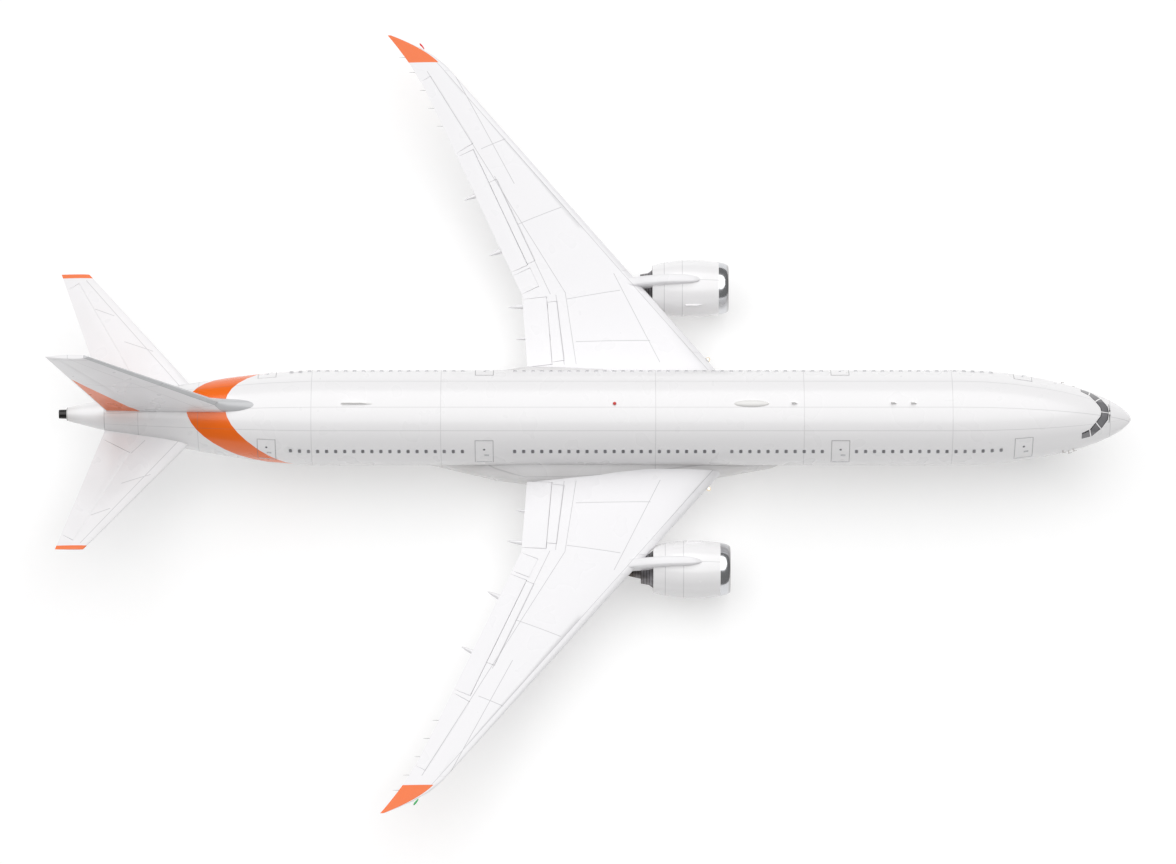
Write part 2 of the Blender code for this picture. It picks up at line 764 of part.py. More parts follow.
def spoiler_ring(flap_line):
    def shape(line, point):
        chord = spoiler_chord(line, flap_line, point)
        centre = spoiler_centre(line, point)
        tail = line.skin(point, chord, 1.0)
        spots = [(0.0, centre + SPOILER_NOSE_R), (0.5 * chord, line.skin(point, 0.5 * chord, 1.0)),
                 (chord, tail), (chord, tail - SPOILER_TAIL), (0.0, centre - SPOILER_NOSE_R)]
        spots += [(-SPOILER_NOSE_R * math.cos(angle), centre + SPOILER_NOSE_R * math.sin(angle))
                  for angle in ARC_ANGLES[1:-1]]
        return [line.place(point, *spot) for spot in spots]
    return shape


def spoiler_pocket_ring(flap_line):
    def shape(line, point):
        chord = spoiler_chord(line, flap_line, point) + 3.0 * HINGE_GAP
        centre = spoiler_centre(line, point)
        radius = SPOILER_NOSE_R + HINGE_GAP
        floor = line.skin(point, chord, 1.0) - SPOILER_TAIL - HINGE_GAP
        spots = [(0.0, CUT_HEIGHT), (0.5 * chord, CUT_HEIGHT), (chord, CUT_HEIGHT),
                 (chord, floor), (0.0, centre - radius)]
        spots += [(-radius * math.cos(angle), centre + radius * math.sin(angle))
                  for angle in ARC_ANGLES[1:-1] + (math.pi / 2.0,)]
        return [line.place(point, *spot) for spot in spots]
    return shape


def make_spoilers(name, wing, line, flap_line, lay):
    middle = line.at(0.5)
    origin = lay(line.place(middle, 0.0, spoiler_centre(line, middle)))
    spoilers = loft(name, laid(line.rings(spoiler_ring(flap_line)), lay), WHITE_PAINT, origin)
    pocket = loft("pocket_" + name, laid(line.rings(spoiler_pocket_ring(flap_line), END_GAP), lay),
                  WHITE_PAINT)
    cut(wing, pocket)
    ends = [lay(line.place(point, 0.0, spoiler_centre(line, point))) for point in (line.start, line.end)]
    hang(spoilers, wing, ends[0], ends[1], SPOILER_PIN_R, PIN_REACH)


# Slats: the wing's nose in two lengths, split at the engine pylon

SLAT_UPPER = 0.30
SLAT_LOWER = 0.12
SLAT_PARTS = (1.0, 0.55, 0.25, 0.08, 0.0)


def slat_depth(span):
    return 1.0 - 0.30 * (span - WING_ROOT_Y) / (WING_TIP_Y - WING_ROOT_Y)


def slat_ring(span):
    lead = wing_leading(span)
    depth = slat_depth(span)
    upper = [Vector((lead - part * SLAT_UPPER * depth, span,
                     WING.skin(span, lead - part * SLAT_UPPER * depth, 1.0))) for part in SLAT_PARTS]
    lower = [Vector((lead - part * SLAT_LOWER * depth, span,
                     WING.skin(span, lead - part * SLAT_LOWER * depth, -1.0)))
             for part in reversed(SLAT_PARTS[:-1])]
    return upper + lower


def slat_cutter_ring(span):
    """The space in front of the slat's back face, grown by the panel gap."""
    ring = slat_ring(span)
    shift = Vector((-TRIM_GAP, 0.0, 0.0))
    top = ring[0] + shift
    low = ring[-1] + shift
    run = (top - low).normalized()
    top_out = top + run * 0.15
    low_out = low - run * 0.15
    ahead = wing_leading(span) + 0.3
    return [low_out, low, top, top_out, Vector((ahead, span, top_out.z)), Vector((ahead, span, low_out.z))]


def make_slats(name, wing, spans, lay):
    low, high = spans
    shares = (0.0, 0.25, 0.5, 0.75, 1.0)
    stations = [low + (high - low) * share for share in shares]
    loft(name, laid([slat_ring(span) for span in stations], lay), WHITE_PAINT)
    grown = [low - PANEL_GAP] + stations + [high + PANEL_GAP]
    cut(wing, loft("bay_" + name, laid([slat_cutter_ring(span) for span in grown], lay), WHITE_PAINT))


# Wings

INNER_FLAP = Hinge(WING, (-1.387, 1.98), (-1.568, 4.20))
OUTER_FLAP = Hinge(WING, (-2.185, 5.27), (-3.943, 9.10))
INNER_SPOILERS = Hinge(WING, (-1.015, 2.10), (-1.250, 4.05))
OUTER_SPOILERS = Hinge(WING, (-1.960, 5.40), (-3.199, 8.10))
FLAPERON = Hinge(WING, (-1.854, 4.55), (-2.129, 5.15))
AILERON = Hinge(WING, (-3.983, 9.30), (-5.350, 11.55))
INNER_CANOES = ((4.00, 0.48, 1.0), (2.94, 0.30, 0.8))
OUTER_CANOES = ((6.01, 0.42, 1.0), (7.84, 0.38, 0.9))
INNER_SLAT_SPANS = (2.35, 4.40)
OUTER_SLAT_SPANS = (5.07, 11.75)
JACK_PAD = (-0.10, 3.55)
JACK_PAD_R = 0.09
JACK_PAD_DEPTH = 0.05


def front_canoes(wing, word, lay):
    for line, canoes, label in ((INNER_FLAP, INNER_CANOES, "inner"), (OUTER_FLAP, OUTER_CANOES, "outer")):
        for number, (span, _, size) in enumerate(canoes):
            name = "front_canoe_%s_%d_%s" % (label, number, word)
            join(wing, front_canoe(name, line, span, 1.55 * size, size, lay))


def jack_pad(word, side):
    x, span = JACK_PAD
    skin = WING.skin(span, x, -1.0)
    return rod("jack_pad_" + word, (x, side * span, skin - JACK_PAD_DEPTH),
               (x, side * span, skin + 0.08), JACK_PAD_R, WHITE_PAINT)


def make_wing(word, side):
    lay = wing_lay(side)
    wing = loft("wing_" + word, laid([WING.ring(span) for span in WING_STATIONS], lay), WHITE_PAINT)
    front_canoes(wing, word, lay)
    join(wing, jack_pad(word, side))
    make_flap("flap_inboard_" + word, wing, INNER_FLAP, INNER_CANOES, lay)
    make_flap("flap_outboard_" + word, wing, OUTER_FLAP, OUTER_CANOES, lay)
    make_round_nose("flaperon_" + word, wing, FLAPERON, lay)
    make_round_nose("aileron_" + word, wing, AILERON, lay)
    make_spoilers("spoilers_inboard_" + word, wing, INNER_SPOILERS, INNER_FLAP, lay)
    make_spoilers("spoilers_outboard_" + word, wing, OUTER_SPOILERS, OUTER_FLAP, lay)
    make_slats("slats_inboard_" + word, wing, INNER_SLAT_SPANS, lay)
    make_slats("slats_outboard_" + word, wing, OUTER_SLAT_SPANS, lay)
    return wing


# Belly fairing: a bulged tray around the wing roots and the lower body

FAIRING_STATIONS = ((6.4, 1.00, 0.45, 1.47), (5.6, 1.36, 0.62, 1.52), (4.0, 1.68, 0.78, 1.60),
                    (1.5, 1.82, 0.86, 1.64), (-1.0, 1.92, 0.88, 1.66), (-2.2, 1.93, 0.88, 1.66),
                    (-3.2, 1.78, 0.82, 1.62), (-4.2, 1.52, 0.70, 1.56), (-5.4, 1.22, 0.56, 1.49),
                    (-6.2, 1.00, 0.45, 1.47))
FAIRING_STEPS = 24
FAIRING_POWER = 2.0 / 2.6


def squared(value):
    """Turns a sine or cosine into the fuller curve of a squared-off oval."""
    return math.copysign(abs(value) ** FAIRING_POWER, value)


def fairing_ring(x, half, height, middle):
    ring = []
    for step in range(FAIRING_STEPS):
        angle = math.tau * (step + 0.5) / FAIRING_STEPS
        ring.append(Vector((x, half * squared(math.cos(angle)), middle + height * squared(math.sin(angle)))))
    return ring


def make_belly_fairing():
    fairing = loft("belly_fairing", [fairing_ring(*row) for row in FAIRING_STATIONS], WHITE_PAINT)
    cut(fairing, body_cutter("trim_fairing_body", TRIM_GAP, -9.1, 11.7))
    for word, side in SIDES:
        rings = [WING.ring(span, TRIM_GAP) for span in (WING_ROOT_Y - SEAT_GAP, 2.6)]
        cut(fairing, loft("trim_fairing_wing_" + word, laid(rings, wing_lay(side)), WHITE_PAINT))
    return fairing


# Tail surfaces

ELEVATOR = Hinge(STABILISER, (-14.81, 1.30), (-16.50, 4.25))
RUDDER = Hinge(FIN, (-14.45, 4.10), (-16.60, 8.70))


def make_stabiliser(word, side):
    lay = wing_lay(side)
    spans = (0.30, 2.0, 3.6, 4.45, STAB_TIP_Y)
    stabiliser = loft("stabilizer_" + word, laid([STABILISER.ring(span) for span in spans], lay),
                      WHITE_PAINT)
    cut(stabiliser, body_cutter("trim_stabilizer_" + word, TRIM_GAP, -16.81, -8.9))
    make_round_nose("elevator_" + word, stabiliser, ELEVATOR, lay)


def make_fin():
    heights = (3.00, DORSAL_Z - DORSAL_HEIGHT, 3.78, 3.87, 3.96, 4.05, DORSAL_Z, 5.6, 7.3, 8.72, FIN_TIP_Z)
    fin = loft("fin", laid([FIN.ring(height) for height in heights], fin_lay), WHITE_PAINT)
    cut(fin, body_cutter("trim_fin", TRIM_GAP, -16.81, -0.9))
    make_round_nose("rudder", fin, RUDDER, fin_lay)


# Engines: pylon, nacelle, inlet lip, fan and core

NACELLE_PROFILE = ((LIP_X, 0.850), (3.55, 0.900), (3.17, NACELLE_R), (2.70, 0.905), (2.25, 0.845),
                   (NOZZLE_X, 0.748), (NOZZLE_X, 0.728), (2.30, 0.742), (2.90, 0.735),
                   (3.15, FAN_CASE_R), (3.60, FAN_CASE_R), (LIP_X, 0.665))
LIP_PROFILE = ((LIP_X, 0.850), (4.12, 0.815), (4.22, 0.775), (4.27, 0.735), (4.28, 0.705),
               (4.25, 0.672), (4.14, 0.652), (LIP_X, 0.665))
CORE_PROFILE = ((3.12, 0.0), (3.12, 0.25), (2.95, 0.33), (2.50, 0.52), (2.10, 0.60), (1.83, 0.60),
                (1.70, 0.50), (1.44, 0.45), (1.44, 0.30), (1.05, 0.21), (0.80, 0.09), (0.74, 0.0))
SPINNER_PROFILE = ((FAN_X + 0.36, 0.0), (FAN_X + 0.33, 0.055), (FAN_X + 0.24, 0.115),
                   (FAN_X + 0.10, 0.180), (FAN_X - 0.12, 0.235), (FAN_X - 0.16, 0.235),
                   (FAN_X - 0.16, 0.0))
PYLON_STATIONS = ((3.36, 0.02, 2.33, 2.25), (3.27, 0.07, 2.39, 2.21), (3.08, 0.115, 2.44, 2.18),
                  (2.86, 0.135, 2.475, 2.17), (2.80, 0.138, 2.48, 1.76), (2.40, 0.145, 2.480, 1.85),
                  (2.05, 0.150, 2.430, 1.90), (1.60, 0.150, 2.310, 1.80), (1.34, 0.150, 2.210, 1.74),
                  (0.95, 0.148, 2.120, 1.66), (0.40, 0.135, 2.020, 1.60), (-0.30, 0.100, 1.920, 1.60),
                  (-0.90, 0.030, 1.840, 1.73))
VANE_TIP_R = 0.7230
SHAFT_R = 0.060


def engine_turned(name, profile, side, steps, material, hollow=False):
    return turned(name, profile, (0.0, side * ENGINE_Y, ENGINE_Z), (1.0, 0.0, 0.0), steps, material, hollow)


def pylon_ring(x, half, top, bottom, side, grow=0.0):
    """A flat-sided section with rounded upper corners."""
    wide = half + grow
    high = top + grow
    low = bottom - grow
    bevel = min(0.4 * half, 0.3 * (top - bottom))
    spots = ((wide, low), (wide, high - bevel), (wide - bevel * 0.3, high - bevel * 0.3),
             (wide - bevel, high))
    ring = [Vector((x, side * ENGINE_Y + y, z)) for y, z in spots]
    ring += [Vector((x, side * ENGINE_Y - y, z)) for y, z in reversed(spots)]
    return ring


def make_pylon(word, side):
    pylon = loft("pylon_" + word, [pylon_ring(*row, side) for row in PYLON_STATIONS], WHITE_PAINT)
    rings = [WING.ring(span, TRIM_GAP) for span in (4.42, 5.05)]
    cut(pylon, loft("trim_pylon_" + word, laid(rings, wing_lay(side)), WHITE_PAINT))
    core = tuple((run, radius + TRIM_GAP if radius > 0.0 else 0.0) for run, radius in CORE_PROFILE)
    return cut(pylon, engine_turned("trim_pylon_core_" + word, core, side, TURN_STEPS, WHITE_PAINT))


def make_nacelle(word, side):
    nacelle = engine_turned("nacelle_" + word, NACELLE_PROFILE, side, TURN_STEPS, WHITE_PAINT, True)
    slot = [pylon_ring(*row, side, TRIM_GAP) for row in PYLON_STATIONS]
    slot[0] = [point + Vector((TRIM_GAP, 0.0, 0.0)) for point in slot[0]]
    cut(nacelle, loft("slot_nacelle_" + word, slot, WHITE_PAINT))
    lip = tuple((run + SEAT_GAP if run == LIP_X else run, radius) for run, radius in LIP_PROFILE)
    engine_turned("inlet_lip_" + word, lip, side, TURN_STEPS, POLISHED_METAL, True)


def guide_vane(name, angle, side):
    """A flat vane from inside the core to the duct wall."""
    half = 0.012
    rings = []
    for radius in (0.20, VANE_TIP_R):
        spots = ((2.98, -half), (2.98, half), (2.84, half), (2.84, -half))
        ring = []
        for x, across in spots:
            y = radius * math.cos(angle) - across * math.sin(angle)
            z = radius * math.sin(angle) + across * math.cos(angle)
            ring.append(Vector((x, side * ENGINE_Y + y, ENGINE_Z + z)))
        rings.append(ring)
    return loft(name, rings, EXHAUST_METAL)


def make_core(word, side):
    core = engine_turned("engine_core_" + word, CORE_PROFILE, side, TURN_STEPS, EXHAUST_METAL)
    for number in range(GUIDE_VANES):
        angle = math.pi / 2.0 + math.tau * (number + 0.5) / GUIDE_VANES
        join(core, guide_vane("vane_%d_%s" % (number, word), angle, side))
    join(core, fan_shaft("shaft_" + word, side, 0.0))


def fan_shaft(name, side, grow):
    """The stub on the core's nose that the fan turns on."""
    start = (3.00 - grow, side * ENGINE_Y, ENGINE_Z)
    end = (FAN_X - 0.06 + grow, side * ENGINE_Y, ENGINE_Z)
    return rod(name, start, end, SHAFT_R + grow, EXHAUST_METAL, 12)


def fan_blade(name, angle, side):
    """A twisted wide-chord blade, thin at its tip."""
    rings = []
    for radius, chord, pitch, half in ((0.17, 0.20, 32.0, 0.015), (0.33, 0.22, 43.0, 0.013),
                                       (0.51, 0.24, 53.0, 0.011), (FAN_R, 0.21, 61.0, 0.009)):
        tilt = math.radians(pitch)
        run = Vector((math.cos(tilt), math.sin(tilt), 0.0))
        across = Vector((-math.sin(tilt), math.cos(tilt), 0.0))
        spots = (run * (chord / 2.0), across * half, run * (-chord / 2.0), across * -half)
        ring = []
        for spot in spots:
            turn = angle + spot.y / radius
            ring.append(Vector((FAN_X - 0.03 + spot.x, side * ENGINE_Y + radius * math.cos(turn),
                                ENGINE_Z + radius * math.sin(turn))))
        rings.append(ring)
    return loft(name, rings, FAN_METAL)


def make_fan(word, side):
    fan = engine_turned("fan_" + word, SPINNER_PROFILE, side, 18, FAN_METAL)
    for number in range(FAN_BLADES):
        join(fan, fan_blade("blade_%d_%s" % (number, word), math.tau * number / FAN_BLADES, side))
    cut(fan, fan_shaft("shaft_bore_" + word, side, SHAFT_GAP))
    centre = Vector((FAN_X, side * ENGINE_Y, ENGINE_Z))
    fan.data.transform(Matrix.Translation(-centre))
    fan.location = centre


def make_engine(word, side):
    make_pylon(word, side)
    make_nacelle(word, side)
    make_core(word, side)
    make_fan(word, side)


# Landing gear

def wheelset_profile(wheel_r, wheel_y, half, axle_r):
    """Half a twin wheelset from its middle to its outer hub cap, then mirrored."""
    inner = wheel_y - half
    outer = wheel_y + half
    rim = 0.52 * wheel_r
    half_profile = ((inner - 0.035, axle_r), (inner - 0.035, 0.42 * wheel_r), (inner + 0.01, rim),
                    (inner, 0.74 * wheel_r), (inner + 0.25 * half, 0.95 * wheel_r),
                    (wheel_y, wheel_r), (outer - 0.25 * half, 0.95 * wheel_r),
                    (outer, 0.74 * wheel_r), (outer - 0.01, rim), (outer - 0.05, 0.44 * wheel_r),
                    (outer - 0.01, 0.14 * wheel_r), (outer - 0.01, 0.0))
    return tuple((-run, radius) for run, radius in reversed(half_profile)) + half_profile


def make_wheelset(name, centre, wheel_r, wheel_y, half, axle_r):
    """A twin wheelset that stands on a flat of its tread, with the round tyre's radius there."""
    corner_r = wheel_r / math.cos(math.pi / WHEEL_STEPS)
    wheels = turned(name, wheelset_profile(corner_r, wheel_y, half, axle_r), (0.0, 0.0, 0.0),
                    (0.0, 1.0, 0.0), WHEEL_STEPS, TYRE_RUBBER, False, 0.5)
    wheels.location = centre
    return wheels


MAIN_AXLE_R = 0.045
MAIN_AXLE_Z = MAIN_WHEEL_R
STRUT_R = 0.100
PISTON_R = 0.068
STRUT_FOOT_Z = 0.86
BEAM_HALF_Y = 0.060
BEAM_HALF_Z = 0.070
LINK_HALF = 0.020
DOOR_GAP_Y = 0.155
MAIN_DOOR_THICK = 0.025


def main_strut_top(side):
    return WING.skin(MAIN_GEAR_Y, MAIN_GEAR_X, -1.0) + 0.10


def main_brace_ends(side):
    low = (MAIN_GEAR_X, side * (MAIN_GEAR_Y - 0.05), 1.02)
    high = (MAIN_GEAR_X, side * 1.80, 1.44)
    return low, high


def main_drag_ends(side):
    low = (MAIN_GEAR_X + 0.05, side * MAIN_GEAR_Y, 1.00)
    high = (MAIN_GEAR_X + 0.95, side * MAIN_GEAR_Y, WING.skin(MAIN_GEAR_Y, MAIN_GEAR_X + 0.95, -1.0) + 0.06)
    return low, high


def main_torque_links(word, side):
    """Two flat links in front of the strut that meet at a knee."""
    y = side * MAIN_GEAR_Y
    upper = [Vector((MAIN_GEAR_X + x, y + across, z)) for across in (-LINK_HALF, LINK_HALF)
             for x, z in ((0.05, 0.95), (0.27, 0.72), (0.27, 0.67), (0.05, 0.88))]
    lower = [Vector((MAIN_GEAR_X + x, y + across, z)) for across in (-LINK_HALF, LINK_HALF)
             for x, z in ((0.27, 0.72), (0.03, 0.48), (0.03, 0.41), (0.27, 0.67))]
    return (loft("link_upper_" + word, (upper[:4], upper[4:]), GEAR_PAINT),
            loft("link_lower_" + word, (lower[:4], lower[4:]), GEAR_PAINT))


def make_main_leg(word, side, wing, fairing):
    y = side * MAIN_GEAR_Y
    top = main_strut_top(side)
    leg = rod("main_gear_" + word, (MAIN_GEAR_X, y, STRUT_FOOT_Z), (MAIN_GEAR_X, y, top), STRUT_R,
              GEAR_PAINT, 16)
    piston = rod("piston_" + word, (MAIN_GEAR_X, y, MAIN_AXLE_Z), (MAIN_GEAR_X, y, STRUT_FOOT_Z + 0.05),
                 PISTON_R, GEAR_PAINT)
    beam = block("beam_" + word,
                 (MAIN_GEAR_X - BOGIE_HALF - 0.09, y - BEAM_HALF_Y, MAIN_AXLE_Z - BEAM_HALF_Z),
                 (MAIN_GEAR_X + BOGIE_HALF + 0.09, y + BEAM_HALF_Y, MAIN_AXLE_Z + BEAM_HALF_Z), GEAR_PAINT)
    brace = rod("brace_" + word, *main_brace_ends(side), 0.045, GEAR_PAINT, 10)
    drag = rod("drag_" + word, *main_drag_ends(side), 0.040, GEAR_PAINT, 10)
    join(leg, piston, beam, brace, drag, *main_torque_links(word, side))
    for number, z in enumerate((1.02, 1.42)):
        lug = block("lug_%d_%s" % (number, word), (MAIN_GEAR_X - 0.04, min(y, y + side * DOOR_GAP_Y), z),
                    (MAIN_GEAR_X + 0.04, max(y, y + side * DOOR_GAP_Y), z + 0.06), GEAR_PAINT)
        join(leg, lug)
    for number, shift in enumerate((-BOGIE_HALF, BOGIE_HALF)):
        bore = rod("axle_bore_%d_%s" % (number, word), (MAIN_GEAR_X + shift, y - 0.2, MAIN_AXLE_Z),
                   (MAIN_GEAR_X + shift, y + 0.2, MAIN_AXLE_Z), bore_radius(MAIN_AXLE_R, WHEEL_STEPS),
                   GEAR_PAINT, WHEEL_STEPS)
        cut(leg, bore)
    cut(wing, rod("socket_" + word, (MAIN_GEAR_X, y, 1.0), (MAIN_GEAR_X, y, top + SEAT_GAP),
                  STRUT_R + SEAT_GAP, GEAR_PAINT, 16))
    for label, ends, target in (("drag", main_drag_ends(side), wing), ("brace", main_brace_ends(side), fairing)):
        radius = 0.040 if label == "drag" else 0.045
        run = (Vector(ends[1]) - Vector(ends[0])).normalized()
        cut(target, rod("socket_%s_%s" % (label, word), ends[0], Vector(ends[1]) + run * SEAT_GAP,
                        radius + SEAT_GAP, GEAR_PAINT, 10))
    return leg


def make_main_door(word, side):
    """The panel that hangs outboard of the strut and closes its bay in flight."""
    y = side * (MAIN_GEAR_Y + DOOR_GAP_Y + SEAT_GAP)
    outer = y + side * MAIN_DOOR_THICK
    spots = ((-0.30, 0.78), (0.34, 0.84), (0.36, 1.50), (-0.26, 1.55))
    rings = [[Vector((MAIN_GEAR_X + x, across, z)) for x, z in spots] for across in (y, outer)]
    return loft("main_gear_door_" + word, rings, WHITE_PAINT)


def make_main_gear(word, side, wing, fairing):
    make_main_leg(word, side, wing, fairing)
    make_main_door(word, side)
    for label, shift in (("front", BOGIE_HALF), ("rear", -BOGIE_HALF)):
        centre = Vector((MAIN_GEAR_X + shift, side * MAIN_GEAR_Y, MAIN_AXLE_Z))
        make_wheelset("wheels_%s_%s" % (label, word), centre, MAIN_WHEEL_R, MAIN_WHEEL_Y,
                      MAIN_WHEEL_HALF, MAIN_AXLE_R)


NOSE_COLLAR_Z = 0.66
NOSE_STRUT_R = 0.072
NOSE_PISTON_R = 0.046
NOSE_AXLE_R = 0.032
NOSE_DOOR_THICK = 0.020


def nose_drag_ends():
    return (NOSE_GEAR_X + 0.03, 0.0, 0.78), (BAY_FRONT_X - 0.16, 0.0, BAY_ROOF_Z - 0.02)


def make_nose_leg(fuselage):
    leg = rod("nose_gear_leg", (NOSE_GEAR_X, 0.0, NOSE_COLLAR_Z), (NOSE_GEAR_X, 0.0, BAY_ROOF_Z - SEAT_GAP),
              NOSE_STRUT_R, GEAR_PAINT, 16)
    drag = rod("nose_drag", *nose_drag_ends(), 0.032, GEAR_PAINT, 12)
    cross = rod("nose_cross", (NOSE_GEAR_X, -BAY_HALF + SEAT_GAP, 1.40), (NOSE_GEAR_X, BAY_HALF - SEAT_GAP, 1.40),
                0.045, GEAR_PAINT, 10)
    join(leg, drag, cross)
    bay = block("nose_bay", (BAY_AFT_X, -BAY_HALF, 0.8), (BAY_FRONT_X, BAY_HALF, BAY_ROOF_Z), WHITE_PAINT)
    cut(fuselage, bay)


def make_nose_steering():
    """The collar, the piston and the axle housing that turn to steer."""
    origin = Vector((NOSE_GEAR_X, 0.0, NOSE_WHEEL_R))
    top = NOSE_COLLAR_Z - SEAT_GAP
    profile = ((0.0, 0.0), (0.0, NOSE_PISTON_R), (0.30, NOSE_PISTON_R), (0.31, 0.092),
               (top - NOSE_WHEEL_R, 0.092), (top - NOSE_WHEEL_R, 0.0))
    steering = turned("nose_steering", profile, (0.0, 0.0, 0.0), (0.0, 0.0, 1.0), 16, GEAR_PAINT)
    steering.location = origin
    housing = rod("nose_housing", (NOSE_GEAR_X, -0.050, NOSE_WHEEL_R), (NOSE_GEAR_X, 0.050, NOSE_WHEEL_R),
                  0.062, GEAR_PAINT, 16)
    fitting = block("tow_fitting", (NOSE_GEAR_X, -0.030, NOSE_WHEEL_R - 0.020),
                    (NOSE_GEAR_X + 0.130, 0.030, NOSE_WHEEL_R + 0.020), GEAR_PAINT)
    spots = ((0.04, 0.56), (0.17, 0.46), (0.17, 0.42), (0.04, 0.30), (0.04, 0.34), (0.13, 0.44), (0.04, 0.52))
    rings = [[Vector((NOSE_GEAR_X + x, across, z)) for x, z in spots] for across in (-0.018, 0.018)]
    links = loft("nose_links", rings, GEAR_PAINT)
    join(steering, housing, fitting, links)
    bore = rod("nose_axle_bore", (NOSE_GEAR_X, -0.2, NOSE_WHEEL_R), (NOSE_GEAR_X, 0.2, NOSE_WHEEL_R),
               bore_radius(NOSE_AXLE_R, WHEEL_STEPS), GEAR_PAINT, WHEEL_STEPS)
    cut(steering, bore)


def make_nose_doors():
    """Two panels that hang from the bay's edges, either side of the leg."""
    for word, side in SIDES:
        outer = side * (BAY_HALF - SEAT_GAP)
        inner = side * (BAY_HALF - SEAT_GAP - NOSE_DOOR_THICK)
        spots = ((BAY_AFT_X + 0.03, 1.20), (BAY_AFT_X + 0.06, 0.80), (BAY_FRONT_X - 0.10, 0.90),
                 (BAY_FRONT_X - 0.03, 1.36))
        rings = [[Vector((x, across, z)) for x, z in spots] for across in (inner, outer)]
        loft("nose_gear_door_" + word, rings, WHITE_PAINT)


def make_nose_gear(fuselage):
    make_nose_leg(fuselage)
    make_nose_steering()
    make_nose_doors()
    centre = Vector((NOSE_GEAR_X, 0.0, NOSE_WHEEL_R))
    make_wheelset("nose_wheels", centre, NOSE_WHEEL_R, NOSE_WHEEL_Y, NOSE_WHEEL_HALF, NOSE_AXLE_R)


def main():
    fuselage = make_fuselage()
    make_radome()
    make_tail_cone()
    make_doors(fuselage)
    make_cockpit_glazing(fuselage)
    fairing = make_belly_fairing()
    make_fin()
    make_nose_gear(fuselage)
    for word, side in SIDES:
        wing = make_wing(word, side)
        make_stabiliser(word, side)
        make_engine(word, side)
        make_main_gear(word, side, wing, fairing)


clear_scene()
main()
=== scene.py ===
"""The looks of a twin-engine wide-body airliner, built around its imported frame."""
import math

import bpy
from mathutils import Matrix, Vector


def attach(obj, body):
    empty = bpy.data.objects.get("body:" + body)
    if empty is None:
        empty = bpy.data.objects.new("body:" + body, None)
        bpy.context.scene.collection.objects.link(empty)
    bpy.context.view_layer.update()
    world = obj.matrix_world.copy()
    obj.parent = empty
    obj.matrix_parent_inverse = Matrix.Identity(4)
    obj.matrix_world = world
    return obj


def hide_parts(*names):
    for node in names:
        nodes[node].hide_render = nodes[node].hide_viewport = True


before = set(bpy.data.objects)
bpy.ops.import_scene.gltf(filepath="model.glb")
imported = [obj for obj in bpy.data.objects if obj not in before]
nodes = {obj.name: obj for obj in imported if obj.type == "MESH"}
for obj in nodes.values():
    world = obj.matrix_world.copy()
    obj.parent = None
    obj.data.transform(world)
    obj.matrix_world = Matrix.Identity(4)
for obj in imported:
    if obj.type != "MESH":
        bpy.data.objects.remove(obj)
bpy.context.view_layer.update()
SIDES = (("left", 1.0), ("right", -1.0))

# Fuselage: riveted barrel sections, a composite radome and tail cone and the belly fairing, all
# under white gloss topcoat with an orange swash round the rear cabin. Panel joints, door rims
# and the nose-gear bay's primer show as thin drawn lines and a change of colour.

BODY_R = 1.515
AXIS_Z = 2.50
JOINT_XS = (16.35, 11.30, 6.60, 1.90, -4.90, -9.00, -12.60, -14.51, -15.59)
DOOR_XS = (13.57, 7.76, -3.53, -10.43)
DOOR_HALF = 0.285
DOOR_LOW, DOOR_HIGH = math.radians(4.0), math.radians(44.0)
CARGO_DOORS = ((9.75, 0.72), (-6.35, 0.72), (-8.45, 0.30))
CARGO_LOW, CARGO_HIGH = math.radians(-50.0), math.radians(-9.0)
LINE_CORE, LINE_EDGE = 0.007, 0.015
BAY_X = (13.30, 14.60)
BAY_HALF_Y = 0.2705
BAY_ROOF_Z = 1.625
# The third colour is the grey of dirt and stains, and also of the painted shade on the fuselage's lower half.
WHITE, ORANGE, DIRT_AND_SHADE_GREY, JOINT_GREY = "F3F2F3", "F36B04", "BDB8B2", "77767A"
PRIMER = "C4CCBE"


def linear(code):
    """An sRGB hex colour as the linear values of a shader socket."""
    channels = [int(code[place:place + 2], 16) / 255.0 for place in (0, 2, 4)]
    values = [c / 12.92 if c <= 0.04045 else ((c + 0.055) / 1.055) ** 2.4 for c in channels]
    return (*values, 1.0)


def finish(name, colour, roughness, **sockets):
    """A material with one principled shader, whose constants are set on its sockets."""
    material = bpy.data.materials.new(name)
    material.use_nodes = True
    shader = material.node_tree.nodes["Principled BSDF"]
    shader.inputs["Base Color"].default_value = linear(colour)
    shader.inputs["Roughness"].default_value = roughness
    for socket, value in sockets.items():
        shader.inputs[socket.replace("_", " ")].default_value = value
    return material, material.node_tree, shader


def add(tree, kind, inputs=(), output=0, **settings):
    """Adds one node with its settings and inputs, and gives back one of its outputs."""
    node = tree.nodes.new("ShaderNode" + kind)
    for name, value in settings.items():
        setattr(node, name, value)
    for socket, source in (inputs.items() if isinstance(inputs, dict) else enumerate(inputs)):
        if isinstance(source, bpy.types.NodeSocket):
            tree.links.new(source, node.inputs[socket])
        else:
            node.inputs[socket].default_value = source
    return node.outputs[output]


def place_of(tree):
    """The point on the piece, and its X, Y and Z in metres."""
    point = add(tree, "TexCoord", output="Object")
    return (point, *(add(tree, "SeparateXYZ", (point,), axis) for axis in "XYZ"))


def smallest(tree, distances):
    result = distances[0]
    for distance in distances[1:]:
        result = add(tree, "Math", (result, distance), operation="MINIMUM")
    return result


def away(tree, value, centre):
    """How far a value is from a centre, without its sign."""
    return add(tree, "Math", (add(tree, "Math", (value, centre), operation="SUBTRACT"),), operation="ABSOLUTE")


